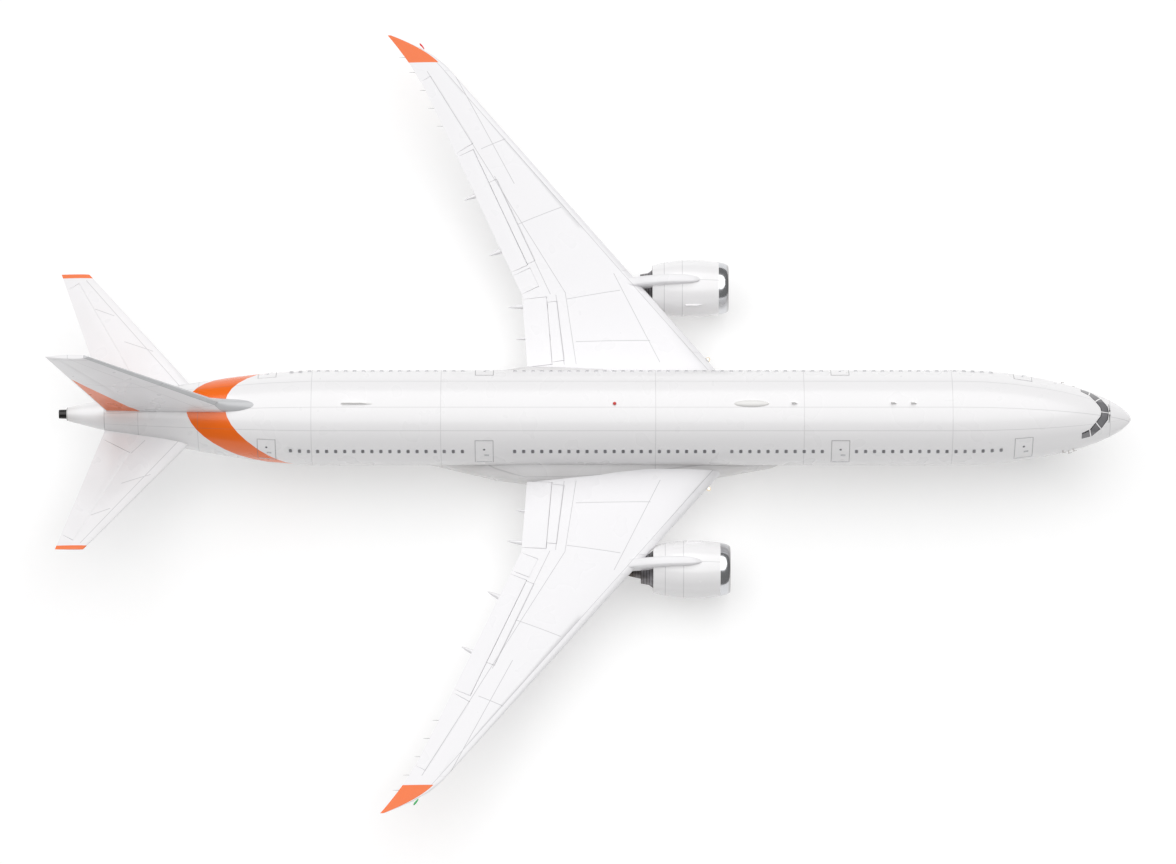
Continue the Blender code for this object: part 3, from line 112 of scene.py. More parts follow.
def outline(tree, off_u, off_v, half_u, half_v):
    """Distance to a rectangle's rim, from the distances to its middle."""
    past = add(tree, "Math", (add(tree, "Math", (off_u, half_u), operation="SUBTRACT"),
                              add(tree, "Math", (off_v, half_v), operation="SUBTRACT")), operation="MAXIMUM")
    return add(tree, "Math", (past,), operation="ABSOLUTE")


def ramp(tree, value, low, high, to_low=0.0, to_high=1.0):
    return add(tree, "MapRange", {"Value": value, "From Min": low, "From Max": high,
                                  "To Min": to_low, "To Max": to_high})


def mix(tree, share, first, second):
    return add(tree, "Mix", {0: share, 6: first, 7: second}, 2, data_type="RGBA")


def wear(tree, shader, point, low, high, patch_mm=900.0, peel_mm=25.0, peel_depth=0.0006):
    """Shine that wanders in patches, and the fine orange-peel of sprayed paint as bump."""
    patches = add(tree, "TexNoise", {"Vector": point, "Scale": 1000.0 / patch_mm, "Detail": 2.0, "Roughness": 0.4})
    tree.links.new(ramp(tree, patches, 0.3, 0.7, low, high), shader.inputs["Roughness"])
    peel = add(tree, "TexNoise", {"Vector": point, "Scale": 1000.0 / peel_mm, "Detail": 2.0})
    tree.links.new(add(tree, "Bump", {"Height": peel, "Distance": peel_depth, "Strength": 0.06}),
                   shader.inputs["Normal"])
    return patches


skin_paint, tree, shader = finish("gloss_white_topcoat_on_riveted_aluminium", WHITE, 0.26,
                                  Coat_Weight=0.3, Coat_Roughness=0.08)
point, x, y, z = place_of(tree)
patches = wear(tree, shader, point, 0.26, 0.32)
height = add(tree, "Math", (z, AXIS_Z), operation="SUBTRACT")
width = add(tree, "Math", (y,), operation="ABSOLUTE")
turn = add(tree, "Math", (height, width), operation="ARCTAN2")
aft_edge = add(tree, "Math", (height, -1.65, -11.05), operation="MULTIPLY_ADD")
bulge = add(tree, "Math", (height, height), operation="MULTIPLY")
front_edge = add(tree, "Math", (height, -1.0, add(tree, "Math", (bulge, -0.27, -9.96), operation="MULTIPLY_ADD")),
                 operation="MULTIPLY_ADD")
swash = add(tree, "Math", (ramp(tree, add(tree, "Math", (x, aft_edge), operation="SUBTRACT"), -0.005, 0.005),
                           ramp(tree, add(tree, "Math", (front_edge, x), operation="SUBTRACT"), -0.005, 0.005)),
            operation="MULTIPLY")
joints = [away(tree, x, spot) for spot in JOINT_XS]
joints.append(away(tree, y, -0.115))
joints += [add(tree, "Math", (away(tree, turn, math.radians(angle)), BODY_R), operation="MULTIPLY")
           for angle in (57.0, -14.0, -52.0)]
door_x = smallest(tree, [away(tree, x, spot) for spot in DOOR_XS])
door_v = add(tree, "Math", (away(tree, turn, (DOOR_LOW + DOOR_HIGH) / 2.0), BODY_R), operation="MULTIPLY")
door_rim = outline(tree, door_x, door_v, DOOR_HALF, (DOOR_HIGH - DOOR_LOW) / 2.0 * BODY_R)
cargo_v = add(tree, "Math", (away(tree, turn, (CARGO_LOW + CARGO_HIGH) / 2.0), BODY_R), operation="MULTIPLY")
cargo_side = add(tree, "Math", (y, 0.0), operation="GREATER_THAN")
cargo_rims = [add(tree, "Math", (outline(tree, away(tree, x, spot), cargo_v, half,
                                         (CARGO_HIGH - CARGO_LOW) / 2.0 * BODY_R), cargo_side), operation="ADD")
              for spot, half in CARGO_DOORS]
faint = ramp(tree, smallest(tree, joints), LINE_CORE, LINE_EDGE, 0.26, 0.0)
strong = ramp(tree, smallest(tree, [door_rim, *cargo_rims]), LINE_CORE, LINE_EDGE, 0.62, 0.0)
drawn = add(tree, "Math", (faint, strong), operation="MAXIMUM")
# The white darkens in patches towards the belly: painted shade on the lower sides, together with belly dirt.
belly_shade_and_dirt = add(tree, "Math", (ramp(tree, height, 0.1, -1.6), patches), operation="MULTIPLY")
colour = mix(tree, belly_shade_and_dirt, linear(WHITE), linear(DIRT_AND_SHADE_GREY))
colour = mix(tree, swash, colour, linear(ORANGE))
colour = mix(tree, drawn, colour, linear(JOINT_GREY))
in_bay = smallest(tree, [ramp(tree, away(tree, x, sum(BAY_X) / 2.0), (BAY_X[1] - BAY_X[0]) / 2.0 + 0.0006,
                              (BAY_X[1] - BAY_X[0]) / 2.0 + 0.0012, 1.0, 0.0),
                         ramp(tree, width, BAY_HALF_Y, BAY_HALF_Y + 0.0006, 1.0, 0.0),
                         ramp(tree, z, BAY_ROOF_Z, BAY_ROOF_Z + 0.001, 1.0, 0.0)])
colour = mix(tree, in_bay, colour, linear(PRIMER))
tree.links.new(colour, shader.inputs["Base Color"])


def dress(name, material, sharp=32.0):
    """Gives a frame piece its finish and round shading: it is welded, then split at its sharp edges."""
    node = nodes[name]
    node.data.materials.clear()
    node.data.materials.append(material)
    node.modifiers.new("weld", "WELD").merge_threshold = 0.0001
    node.modifiers.new("edges", "EDGE_SPLIT").split_angle = math.radians(sharp)
    node.data.polygons.foreach_set("use_smooth", [True] * len(node.data.polygons))


for name in ("fuselage", "radome", "belly_fairing"):
    dress(name, skin_paint)
for number in range(1, 5):
    for word, side in SIDES:
        dress("door_%d_%s" % (number, word), skin_paint)

# Tail cone: the auxiliary power unit's outlet, a stainless ring blackened by its own exhaust, at
# the tip of the painted cone.

CONE_TIP_X = -16.80
SOOT = "2B2A2A"

cone_paint, tree, shader = finish("white_topcoat_and_sooted_steel_tip", WHITE, 0.28, Coat_Weight=0.3)
point, x, y, z = place_of(tree)
patches = wear(tree, shader, point, 0.26, 0.33)
drawn = ramp(tree, smallest(tree, [away(tree, x, spot) for spot in (-15.59, CONE_TIP_X + 0.02)]),
             LINE_CORE, LINE_EDGE, 0.5, 0.0)
tip = ramp(tree, x, CONE_TIP_X - 0.004, CONE_TIP_X + 0.004, 1.0, 0.0)
haze = add(tree, "Math", (ramp(tree, x, CONE_TIP_X, CONE_TIP_X + 0.5, 0.5, 0.0), patches), operation="MULTIPLY")
colour = mix(tree, haze, linear(WHITE), linear(DIRT_AND_SHADE_GREY))
colour = mix(tree, drawn, colour, linear(JOINT_GREY))
tree.links.new(mix(tree, tip, colour, linear(SOOT)), shader.inputs["Base Color"])
tree.links.new(ramp(tree, tip, 0.0, 1.0, 0.0, 0.85), shader.inputs["Metallic"])
dress("tail_cone", cone_paint)

# Cabin windows: an acrylic pane behind a pressed aluminium frame, set into the skin in one row
# on each side. One window is modelled and copied to each place.

WINDOW_ANGLE = math.radians(28.0)
WINDOW_PITCH = 0.2866
WINDOW_ROWS = ((-9.666, 20), (-2.564, 35), (8.264, 16))
WINDOW_SIZE = (0.135, 0.016, 0.190)
WINDOW_CORNER = 0.052
FRAME_WIDTH = 0.017
PANE_DEPTH = 0.004


def body_radius(x):
    if x > 11.60:
        return BODY_R * (1.0 - ((x - 11.6) / 5.45) ** 1.8) ** 0.62
    if x < -9.0:
        return BODY_R * (1.0 - 0.863 * ((-9.0 - x) / 7.8) ** 1.5)
    return BODY_R


def body_centre(x):
    if x > 11.60:
        return AXIS_Z - 0.15 * ((x - 11.6) / 5.45) ** 2
    if x < -9.0:
        return AXIS_Z + 0.38 * ((-9.0 - x) / 7.8) ** 1.6
    return AXIS_Z


def on_skin(x, angle, side, lift=0.0):
    """A frame on the fuselage: its local Y points out of the skin and its local Z up round it."""
    def spot(at):
        radius = body_radius(at)
        return Vector((at, side * radius * math.cos(angle), body_centre(at) + radius * math.sin(angle)))
    run = (spot(x + 0.01) - spot(x - 0.01)).normalized()
    up = Vector((0.0, -side * math.sin(angle), math.cos(angle)))
    out = (up.cross(run) * side).normalized()
    along = out.cross(up)
    place = spot(x) + out * lift
    return Matrix.Translation(place) @ Matrix((along, out, up)).transposed().to_4x4()


def deselect():
    bpy.ops.object.select_all(action="DESELECT")


def pick(obj, test, kind="FACE"):
    """Enters edit mode with only the faces or edges selected whose place and direction pass."""
    bpy.context.view_layer.objects.active = obj
    bpy.ops.object.mode_set(mode="EDIT")
    bpy.ops.mesh.select_mode(type=kind)
    bpy.ops.mesh.select_all(action="DESELECT")
    bpy.ops.object.mode_set(mode="OBJECT")
    mesh = obj.data
    if kind == "FACE":
        for face in mesh.polygons:
            face.select = test(face.center, face.normal)
    else:
        for edge in mesh.edges:
            ends = [mesh.vertices[number].co for number in edge.vertices]
            edge.select = test((ends[0] + ends[1]) / 2.0, (ends[1] - ends[0]).normalized())
    bpy.ops.object.mode_set(mode="EDIT")


def leave():
    bpy.ops.object.mode_set(mode="OBJECT")


def begin(name, primitive, *materials, **settings):
    """Adds one primitive, with its scale applied, as the start of a piece."""
    deselect()
    getattr(bpy.ops.mesh, "primitive_%s_add" % primitive)(**settings)
    obj = bpy.context.object
    obj.name = name
    bpy.ops.object.transform_apply(location=True, rotation=True, scale=True)
    for material in materials:
        obj.data.materials.append(material)
    return obj


def paint_faces(obj, slot, test):
    for face in obj.data.polygons:
        if test(face.center, face.normal):
            face.material_index = slot


def copies(pattern, name, places):
    """Copies a modelled pattern to each place, each with its own mesh, and joins them as one piece."""
    made = []
    for place in places:
        item = pattern.copy()
        item.data = pattern.data.copy()
        item.data.transform(place)
        if place.determinant() < 0.0:
            item.data.flip_normals()
        bpy.context.scene.collection.objects.link(item)
        made.append(item)
    return join(name, made)


def join(name, items):
    deselect()
    for item in items:
        item.select_set(True)
    bpy.context.view_layer.objects.active = items[0]
    if len(items) > 1:
        bpy.ops.object.join()
    obj = bpy.context.object
    obj.name = name
    return obj


def drop(obj):
    bpy.data.objects.remove(obj)


def soften(obj, angle=35.0):
    deselect()
    obj.select_set(True)
    bpy.context.view_layer.objects.active = obj
    bpy.ops.object.shade_smooth_by_angle(angle=math.radians(angle))


frame_metal, tree, shader = finish("anodised_window_frame_pressed_aluminium", "DFDFE1", 0.38, Metallic=0.25)
point, x, y, z = place_of(tree)
wear(tree, shader, point, 0.30, 0.45, 60.0, 8.0)

pane_acrylic, tree, shader = finish("cast_acrylic_pane_over_dark_cabin", "6E6E72", 0.12, IOR=1.49,
                                    Coat_Weight=0.4, Coat_Roughness=0.03)
point, x, y, z = place_of(tree)
blind = add(tree, "TexNoise", {"Vector": point, "Scale": 1.0 / WINDOW_PITCH, "Detail": 1.0})
tree.links.new(mix(tree, ramp(tree, blind, 0.35, 0.65), linear("5F5F63"), linear("7D7C80")),
               shader.inputs["Base Color"])

window = begin("window", "cube", frame_metal, pane_acrylic, size=1.0, scale=WINDOW_SIZE)
pick(window, lambda middle, run: abs(run.y) > 0.9, "EDGE")
bpy.ops.mesh.bevel(offset=WINDOW_CORNER, segments=4)
pick(window, lambda middle, normal: normal.y > 0.9)
bpy.ops.mesh.inset(thickness=FRAME_WIDTH, depth=0.0)
bpy.ops.mesh.inset(thickness=0.003, depth=-PANE_DEPTH)
leave()
paint_faces(window, 1, lambda middle, normal: normal.y > 0.9 and middle.y < WINDOW_SIZE[1] / 2.0 - 0.001)
for word, side in SIDES:
    places = []
    for start, count in WINDOW_ROWS:
        count += 1 if side < 0.0 and start > 8.0 else 0
        for number in range(count):
            at = start + number * WINDOW_PITCH
            if side < 0.0 and abs(at - 3.93) < 0.1:
                continue
            places.append(on_skin(at, WINDOW_ANGLE, side, -0.002))
    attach(copies(window, "cabin_windows_" + word, places), "airframe")
drop(window)

# Door fittings: each cabin door has a small round port, a flush lever in its shallow pocket and
# a scuff plate of bare stainless steel along its sill.

PORT_ANGLE = math.radians(31.0)
PORT_R = 0.048
LEVER_ANGLE = math.radians(21.0)
SILL_ANGLE = math.radians(5.6)

scuff_steel, tree, shader = finish("brushed_stainless_scuff_plate", "B9BABC", 0.32, Metallic=1.0)
point, x, y, z = place_of(tree)
brushed = add(tree, "TexNoise", {"Vector": add(tree, "Mapping", {"Vector": point, "Scale": (4.0, 150.0, 150.0)}),
                                 "Scale": 1.0, "Detail": 3.0})
tree.links.new(ramp(tree, brushed, 0.3, 0.7, 0.24, 0.42), shader.inputs["Roughness"])

port = begin("port", "cylinder", frame_metal, pane_acrylic, vertices=20, radius=PORT_R, depth=0.014,
             rotation=(math.radians(90.0), 0.0, 0.0))
pick(port, lambda middle, normal: normal.y > 0.9)
bpy.ops.mesh.inset(thickness=0.010, depth=0.0)
bpy.ops.mesh.inset(thickness=0.002, depth=-0.003)
leave()
paint_faces(port, 1, lambda middle, normal: normal.y > 0.9 and middle.y < 0.006)
lever = begin("lever", "cube", scuff_steel, size=1.0, scale=(0.150, 0.010, 0.062))
pick(lever, lambda middle, normal: normal.y > 0.9)
bpy.ops.mesh.inset(thickness=0.007, depth=0.0)
bpy.ops.mesh.inset(thickness=0.002, depth=-0.004)
bpy.ops.mesh.inset(thickness=0.012, depth=0.003)
leave()
sill = begin("sill", "cube", scuff_steel, size=1.0, scale=(0.50, 0.008, 0.030))
pick(sill, lambda middle, run: abs(run.x) > 0.9 and middle.y > 0.0, "EDGE")
bpy.ops.mesh.bevel(offset=0.003, segments=2)
leave()
for word, side in SIDES:
    fittings = [copies(port, "ports", [on_skin(at, PORT_ANGLE, side, -0.001) for at in DOOR_XS]),
                copies(lever, "levers", [on_skin(at + 0.08, LEVER_ANGLE, side, 0.001) for at in DOOR_XS]),
                copies(sill, "sills", [on_skin(at, SILL_ANGLE, side, 0.0) for at in DOOR_XS])]
    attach(join("door_fittings_" + word, fittings), "airframe")
for obj in (port, lever, sill):
    drop(obj)

# Cockpit glazing: six laminated, gold-heated panes in black silicone seals, parted by white
# posts, and two parked wipers below the front pair.

PANE_LOW = ((15.43, 30.0), (15.76, 31.0), (16.07, 48.0), (16.27, 70.0), (16.30, 90.0))
PANE_HIGH = ((15.43, 43.0), (15.69, 49.0), (15.88, 64.0), (16.03, 79.0), (16.06, 90.0))
POSTS = (((15.73, 31.3), (15.68, 49.0)), ((16.05, 47.4), (15.89, 63.6)), ((16.31, 90.0), (16.05, 90.0)))
GLASS_R = 0.95


def unrolled(spot):
    return (spot[0], math.radians(spot[1]) * GLASS_R, 0.0)


def segment(tree, flat, start, end):
    """Distance from a point on a flattened sheet to a straight line."""
    run = Vector(end) - Vector(start)
    reach = add(tree, "VectorMath", (flat, start), operation="SUBTRACT")
    share = add(tree, "VectorMath", (reach, tuple(run / run.length_squared)), "Value", operation="DOT_PRODUCT")
    share = add(tree, "Math", (share, 1.0), operation="MULTIPLY", use_clamp=True)
    foot = add(tree, "VectorMath", {0: tuple(run), "Scale": share}, operation="SCALE")
    return add(tree, "VectorMath", (reach, foot), "Value", operation="DISTANCE")


glass, tree, shader = finish("laminated_cockpit_glass_in_black_seals", "6F6F72", 0.06, IOR=1.52,
                             Coat_Weight=0.6, Coat_Roughness=0.02)
point, x, y, z = place_of(tree)
height = add(tree, "Math", (z, AXIS_Z - 0.11), operation="SUBTRACT")
width = add(tree, "Math", (y,), operation="ABSOLUTE")
turn = add(tree, "Math", (height, width), operation="ARCTAN2")
flat = add(tree, "CombineXYZ", (x, add(tree, "Math", (turn, GLASS_R), operation="MULTIPLY")))
rims = [segment(tree, flat, unrolled(start), unrolled(end))
        for border in (PANE_LOW, PANE_HIGH) for start, end in zip(border, border[1:])]
posts = smallest(tree, [segment(tree, flat, unrolled(start), unrolled(end)) for start, end in POSTS])
rim = smallest(tree, [*rims, add(tree, "Math", (posts, 0.014), operation="SUBTRACT")])
streaks = add(tree, "TexNoise", {"Vector": point, "Scale": 6.0, "Detail": 3.0})
colour = mix(tree, streaks, linear("69696C"), linear("868588"))
colour = mix(tree, ramp(tree, rim, 0.016, 0.022, 1.0, 0.0), colour, linear("1D1D1F"))
colour = mix(tree, ramp(tree, posts, 0.018, 0.023, 1.0, 0.0), colour, linear(WHITE))
tree.links.new(colour, shader.inputs["Base Color"])
tree.links.new(ramp(tree, streaks, 0.3, 0.7, 0.04, 0.12), shader.inputs["Roughness"])
dress("cockpit_glazing", glass)

arm_black, tree, shader = finish("black_anodised_wiper_arm", "232325", 0.42, Metallic=0.3)
point, x, y, z = place_of(tree)
wear(tree, shader, point, 0.36, 0.52, 40.0, 6.0)
wiper = begin("wiper", "cube", arm_black, size=1.0, scale=(0.014, 0.012, 0.20))
pick(wiper, lambda middle, normal: normal.z > 0.9)
bpy.ops.transform.resize(value=(0.55, 0.7, 1.0))
bpy.ops.mesh.extrude_region_move(TRANSFORM_OT_translate={"value": (0.0, -0.006, 0.04)})
leave()
hub = begin("hub", "cylinder", arm_black, vertices=14, radius=0.020, depth=0.028,
            rotation=(math.radians(90.0), 0.0, 0.0), location=(0.0, 0.002, -0.105))
pick(hub, lambda middle, normal: normal.y > 0.9)
bpy.ops.mesh.inset(thickness=0.007, depth=0.004)
leave()
wiper = join("wiper", [wiper, hub])
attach(copies(wiper, "windscreen_wipers",
               [on_skin(16.315, math.radians(74.0), side, 0.012) @ Matrix.Rotation(math.pi + side * 0.10, 4, "Y")
                for word, side in SIDES]), "airframe")
drop(wiper)

# Aerials and lights on the crown and belly: moulded glass-fibre blades and a low satellite
# fairing in white gel coat, red flashing beacons under clear domes, and probes.

SATCOM = (4.38, 5.49, 0.115, 0.085)
DORSAL_FIN = (-8.07, -7.02, 0.030, 0.12)
BLADES = ((9.44, 1.0), (10.07, 1.0), (6.30, 1.0), (8.20, -1.0), (-7.30, -1.0))
BEACON_XS = ((0.60, 1.0), (1.10, -1.0))
PROBES = ((15.20, -2.0), (15.05, -9.0), (14.85, 4.0))

gel_coat, tree, shader = finish("white_gel_coat_on_glass_fibre", "EDECEA", 0.35, Coat_Weight=0.2)
point, x, y, z = place_of(tree)
wear(tree, shader, point, 0.28, 0.42, 120.0, 14.0)
beacon_red, tree, shader = finish("red_polycarbonate_beacon_dome", "C4201A", 0.14, IOR=1.58,
                                  Coat_Weight=0.5, Emission_Strength=0.15)
shader.inputs["Emission Color"].default_value = linear("E0352B")
point, x, y, z = place_of(tree)
ribs = add(tree, "TexWave", {"Vector": point, "Scale": 18.0, "Distortion": 0.2}, bands_direction="Z")
tree.links.new(ramp(tree, ribs, 0.0, 1.0, 0.10, 0.22), shader.inputs["Roughness"])

satcom = begin("satcom", "uv_sphere", gel_coat, segments=32, ring_count=16, radius=1.0,
               location=((SATCOM[0] + SATCOM[1]) / 2.0, 0.0, AXIS_Z + BODY_R - 0.01),
               scale=((SATCOM[1] - SATCOM[0]) / 2.0, SATCOM[2], SATCOM[3]))
bpy.ops.object.mode_set(mode="EDIT")
bpy.ops.mesh.select_all(action="SELECT")
bpy.ops.mesh.bisect(plane_co=(0.0, 0.0, AXIS_Z + BODY_R - 0.02), plane_no=(0.0, 0.0, 1.0), clear_inner=True,
                    use_fill=True)
leave()
soften(satcom)
fin_length = DORSAL_FIN[1] - DORSAL_FIN[0]
spine = begin("spine", "cube", gel_coat, size=1.0, scale=(fin_length, DORSAL_FIN[2] * 2.0, DORSAL_FIN[3]),
              location=(sum(DORSAL_FIN[:2]) / 2.0, 0.0, AXIS_Z + BODY_R + DORSAL_FIN[3] / 2.0 - 0.02))
pick(spine, lambda middle, normal: normal.z > 0.9)
bpy.ops.transform.resize(value=(0.55, 0.35, 1.0))
bpy.ops.transform.translate(value=(-0.16, 0.0, 0.0))
pick(spine, lambda middle, run: abs(run.y) < 0.5, "EDGE")
bpy.ops.mesh.bevel(offset=0.010, segments=2)
leave()
soften(spine)
blade = begin("blade", "cube", gel_coat, size=1.0, scale=(0.19, 0.022, 0.16), location=(0.0, 0.0, 0.07))
pick(blade, lambda middle, normal: normal.z > 0.9)
bpy.ops.transform.resize(value=(0.55, 0.45, 1.0))
bpy.ops.transform.translate(value=(-0.06, 0.0, 0.0))
pick(blade, lambda middle, run: abs(run.y) < 0.5, "EDGE")
bpy.ops.mesh.bevel(offset=0.005, segments=2)
leave()
soften(blade)
places = [Matrix.Translation((at, 0.0, AXIS_Z + up * BODY_R)) @ Matrix.Diagonal((1.0, 1.0, up, 1.0))
          for at, up in BLADES]
blades = copies(blade, "blades", places)
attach(join("aerials", [satcom, spine, blades]), "airframe")
drop(blade)

beacon = begin("beacon", "uv_sphere", beacon_red, gel_coat, segments=20, ring_count=12, radius=0.055)
bpy.ops.object.mode_set(mode="EDIT")
bpy.ops.mesh.select_all(action="SELECT")
bpy.ops.mesh.bisect(plane_co=(0.0, 0.0, -0.005), plane_no=(0.0, 0.0, 1.0), clear_inner=True, use_fill=True)
leave()
pick(beacon, lambda middle, normal: normal.z < -0.9)
bpy.ops.mesh.extrude_region_move(TRANSFORM_OT_translate={"value": (0.0, 0.0, -0.022)})
bpy.ops.transform.resize(value=(1.25, 1.25, 1.0))
leave()
paint_faces(beacon, 1, lambda middle, normal: middle.z < -0.005)
soften(beacon, 50.0)
BELLY_BOTTOM_Z = 0.787
places = [Matrix.Translation((at, 0.0, (AXIS_Z + BODY_R + 0.02) if up > 0.0 else BELLY_BOTTOM_Z - 0.012))
          @ Matrix.Diagonal((1.0, 1.0, up, 1.0)) for at, up in BEACON_XS]
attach(copies(beacon, "beacons", places), "airframe")
drop(beacon)

probe_steel, tree, shader = finish("heated_probe_machined_stainless_steel", "A7A8AB", 0.28, Metallic=1.0)
point, x, y, z = place_of(tree)
tint = add(tree, "TexNoise", {"Vector": point, "Scale": 60.0, "Detail": 2.0})
tree.links.new(mix(tree, tint, linear("A7A8AB"), linear("8B8379")), shader.inputs["Base Color"])
probe = begin("probe", "cube", probe_steel, size=1.0, scale=(0.05, 0.07, 0.014), location=(0.0, 0.030, 0.0))
pick(probe, lambda middle, normal: normal.y > 0.9)
bpy.ops.transform.resize(value=(0.5, 1.0, 0.8))
leave()
tube = begin("tube", "cylinder", probe_steel, vertices=12, radius=0.008, depth=0.12,
             rotation=(0.0, math.radians(90.0), 0.0), location=(0.025, 0.065, 0.0))
pick(tube, lambda middle, normal: normal.x > 0.9)
bpy.ops.mesh.inset(thickness=0.0035, depth=0.0)
bpy.ops.mesh.extrude_region_move(TRANSFORM_OT_translate={"value": (-0.02, 0.0, 0.0)})
leave()
probe = join("probe", [probe, tube])
mirror_x = Matrix.Diagonal((-1.0, 1.0, 1.0, 1.0))
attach(copies(probe, "air_data_probes",
               [on_skin(at, math.radians(angle), side, 0.0) @ (Matrix.Identity(4) if side > 0.0 else mirror_x)
                for word, side in SIDES for at, angle in PROBES]), "airframe")
drop(probe)

# Wings: machined skins and composite leading and trailing edges under white topcoat, with
# orange tips. Spar and plank joints, slat and panel edges show as hairlines, and oval tank
# covers in one row underneath.

TIP_Y = 12.03
WING_LINES = (((-0.62, 1.95), (-0.97, 4.32)), ((-0.97, 4.32), (-5.44, 11.72)), ((-1.0, 1.95), (-1.27, 4.25)),
              ((-1.45, 4.286), (-3.25, 8.2)), ((0.589, 4.94), (2.054, 1.97)), ((-0.62, 2.69), (1.74, 2.69)),
              ((-3.678, 9.12), (-2.914, 9.45)), ((-2.5, 6.60), (-1.115, 7.15)), ((-0.908, 4.11), (0.78, 4.38)),
              ((-2.62, 7.95), (-4.75, 12.0)))
COVER_PITCH = 0.62


wing_paint, tree, shader = finish("gloss_white_topcoat_on_wing_skins", "F0EFF1", 0.28, Coat_Weight=0.3,
                                  Coat_Roughness=0.1)
point, x, y, z = place_of(tree)
patches = wear(tree, shader, point, 0.26, 0.33)
span = add(tree, "Math", (y,), operation="ABSOLUTE")
flat = add(tree, "CombineXYZ", (x, span))
lines = smallest(tree, [segment(tree, flat, (*start, 0.0), (*end, 0.0)) for start, end in WING_LINES])
past_tip = add(tree, "Math", (add(tree, "Math", (span, 11.9), operation="SUBTRACT"), 0.0), operation="MAXIMUM")
sweep = add(tree, "Math", (add(tree, "Math", (past_tip, past_tip), operation="MULTIPLY"), -0.8163,
                           add(tree, "Math", (span, -0.8576, 5.4011), operation="MULTIPLY_ADD")),
            operation="MULTIPLY_ADD")
behind = add(tree, "Math", (sweep, x), operation="SUBTRACT")
slat_depth = add(tree, "Math", (span, -0.00793, 0.3127), operation="MULTIPLY_ADD")
slat_edge = add(tree, "Math", (add(tree, "Math", (behind, slat_depth), operation="SUBTRACT"),), operation="ABSOLUTE")
facing = add(tree, "SeparateXYZ", (add(tree, "NewGeometry", output="Normal"),), "Z")
over = add(tree, "Math", (facing, 0.6), operation="GREATER_THAN")
under = add(tree, "Math", (facing, -0.6), operation="LESS_THAN")
mid_line = add(tree, "Math", (span, -0.68, 3.1), operation="MULTIPLY_ADD")
cover_u = add(tree, "Math", (add(tree, "Math", (span, COVER_PITCH / 2.0), operation="PINGPONG"),
                             COVER_PITCH / 2.0), operation="SUBTRACT")
cover_v = add(tree, "Math", (add(tree, "Math", (x, mid_line), operation="SUBTRACT"), 1.45), operation="MULTIPLY")
cover_r = add(tree, "Math", (add(tree, "Math", (cover_u, cover_u), operation="MULTIPLY"),
                             add(tree, "Math", (cover_v, cover_v), operation="MULTIPLY")), operation="ADD")
cover_rim = away(tree, add(tree, "Math", (cover_r, 0.5), operation="POWER"), 0.17)
covers = add(tree, "Math", (ramp(tree, cover_rim, LINE_CORE, LINE_EDGE, 0.5, 0.0), under), operation="MULTIPLY")
drawn = smallest(tree, [lines, slat_edge])
drawn = ramp(tree, drawn, LINE_CORE, LINE_EDGE, 0.42, 0.0)
inboard = add(tree, "Math", (span, TIP_Y), operation="LESS_THAN")
drawn = add(tree, "Math", (drawn, add(tree, "Math", (inboard, over), operation="MULTIPLY")), operation="MULTIPLY")
drawn = add(tree, "Math", (drawn, covers), operation="MAXIMUM")
trail = add(tree, "Math", (add(tree, "Math", (under, patches), operation="MULTIPLY"), 0.45), operation="MULTIPLY")
strip = ramp(tree, span, TIP_Y, 12.95, 0.15, 0.03)
tip = smallest(tree, [ramp(tree, span, TIP_Y - 0.005, TIP_Y + 0.005),
                      ramp(tree, add(tree, "Math", (behind, strip), operation="SUBTRACT"), -0.005, 0.005)])
colour = mix(tree, trail, linear("F0EFF1"), linear(DIRT_AND_SHADE_GREY))
colour = mix(tree, drawn, colour, linear(JOINT_GREY))
tree.links.new(mix(tree, tip, colour, linear(ORANGE)), shader.inputs["Base Color"])
for word, side in SIDES:
    for name in ("wing", "slats_inboard", "slats_outboard", "flap_inboard", "flap_outboard", "flaperon",
                 "aileron", "spoilers_inboard", "spoilers_outboard", "pylon"):
        dress("%s_%s" % (name, word), wing_paint, 50.0)

# Wing lights: red to port and green to starboard under clear covers at the tips, white landing
# lamps in the wing roots, and carbon static wicks along the outer trailing edge.

LAMP_CLEAR = "DCE2E6"
NAV_SPOT = (-5.62, 12.58)
LANDING_SPOT = (3.575, 2.13, 1.816)
WICK_YS = (9.9, 10.5, 11.1, 11.7, 12.2)

wick_black, tree, shader = finish("carbon_static_wick_moulded_rod", "1E1E20", 0.55)
point, x, y, z = place_of(tree)
wear(tree, shader, point, 0.45, 0.65, 30.0, 4.0)
lamp_glass, tree, shader = finish("clear_glass_over_polished_reflector", LAMP_CLEAR, 0.08, Metallic=0.6,
                                  Emission_Strength=0.5)
shader.inputs["Emission Color"].default_value = linear("FFE9C4")
point, x, y, z = place_of(tree)
fluted = add(tree, "TexWave", {"Vector": point, "Scale": 30.0}, bands_direction="Y")
tree.links.new(mix(tree, fluted, linear("E8E4DA"), linear("B9B6AE")), shader.inputs["Base Color"])


def wing_mid_z(span):
    return 1.78 + 0.0678 * (span - 1.60)


def trailing_x(span):
    edge = -2.357 - 0.459 * (span - 4.286)
    return edge - (0.40 * ((span - 10.9) / 2.05) ** 1.9 if span > 10.9 else 0.0)


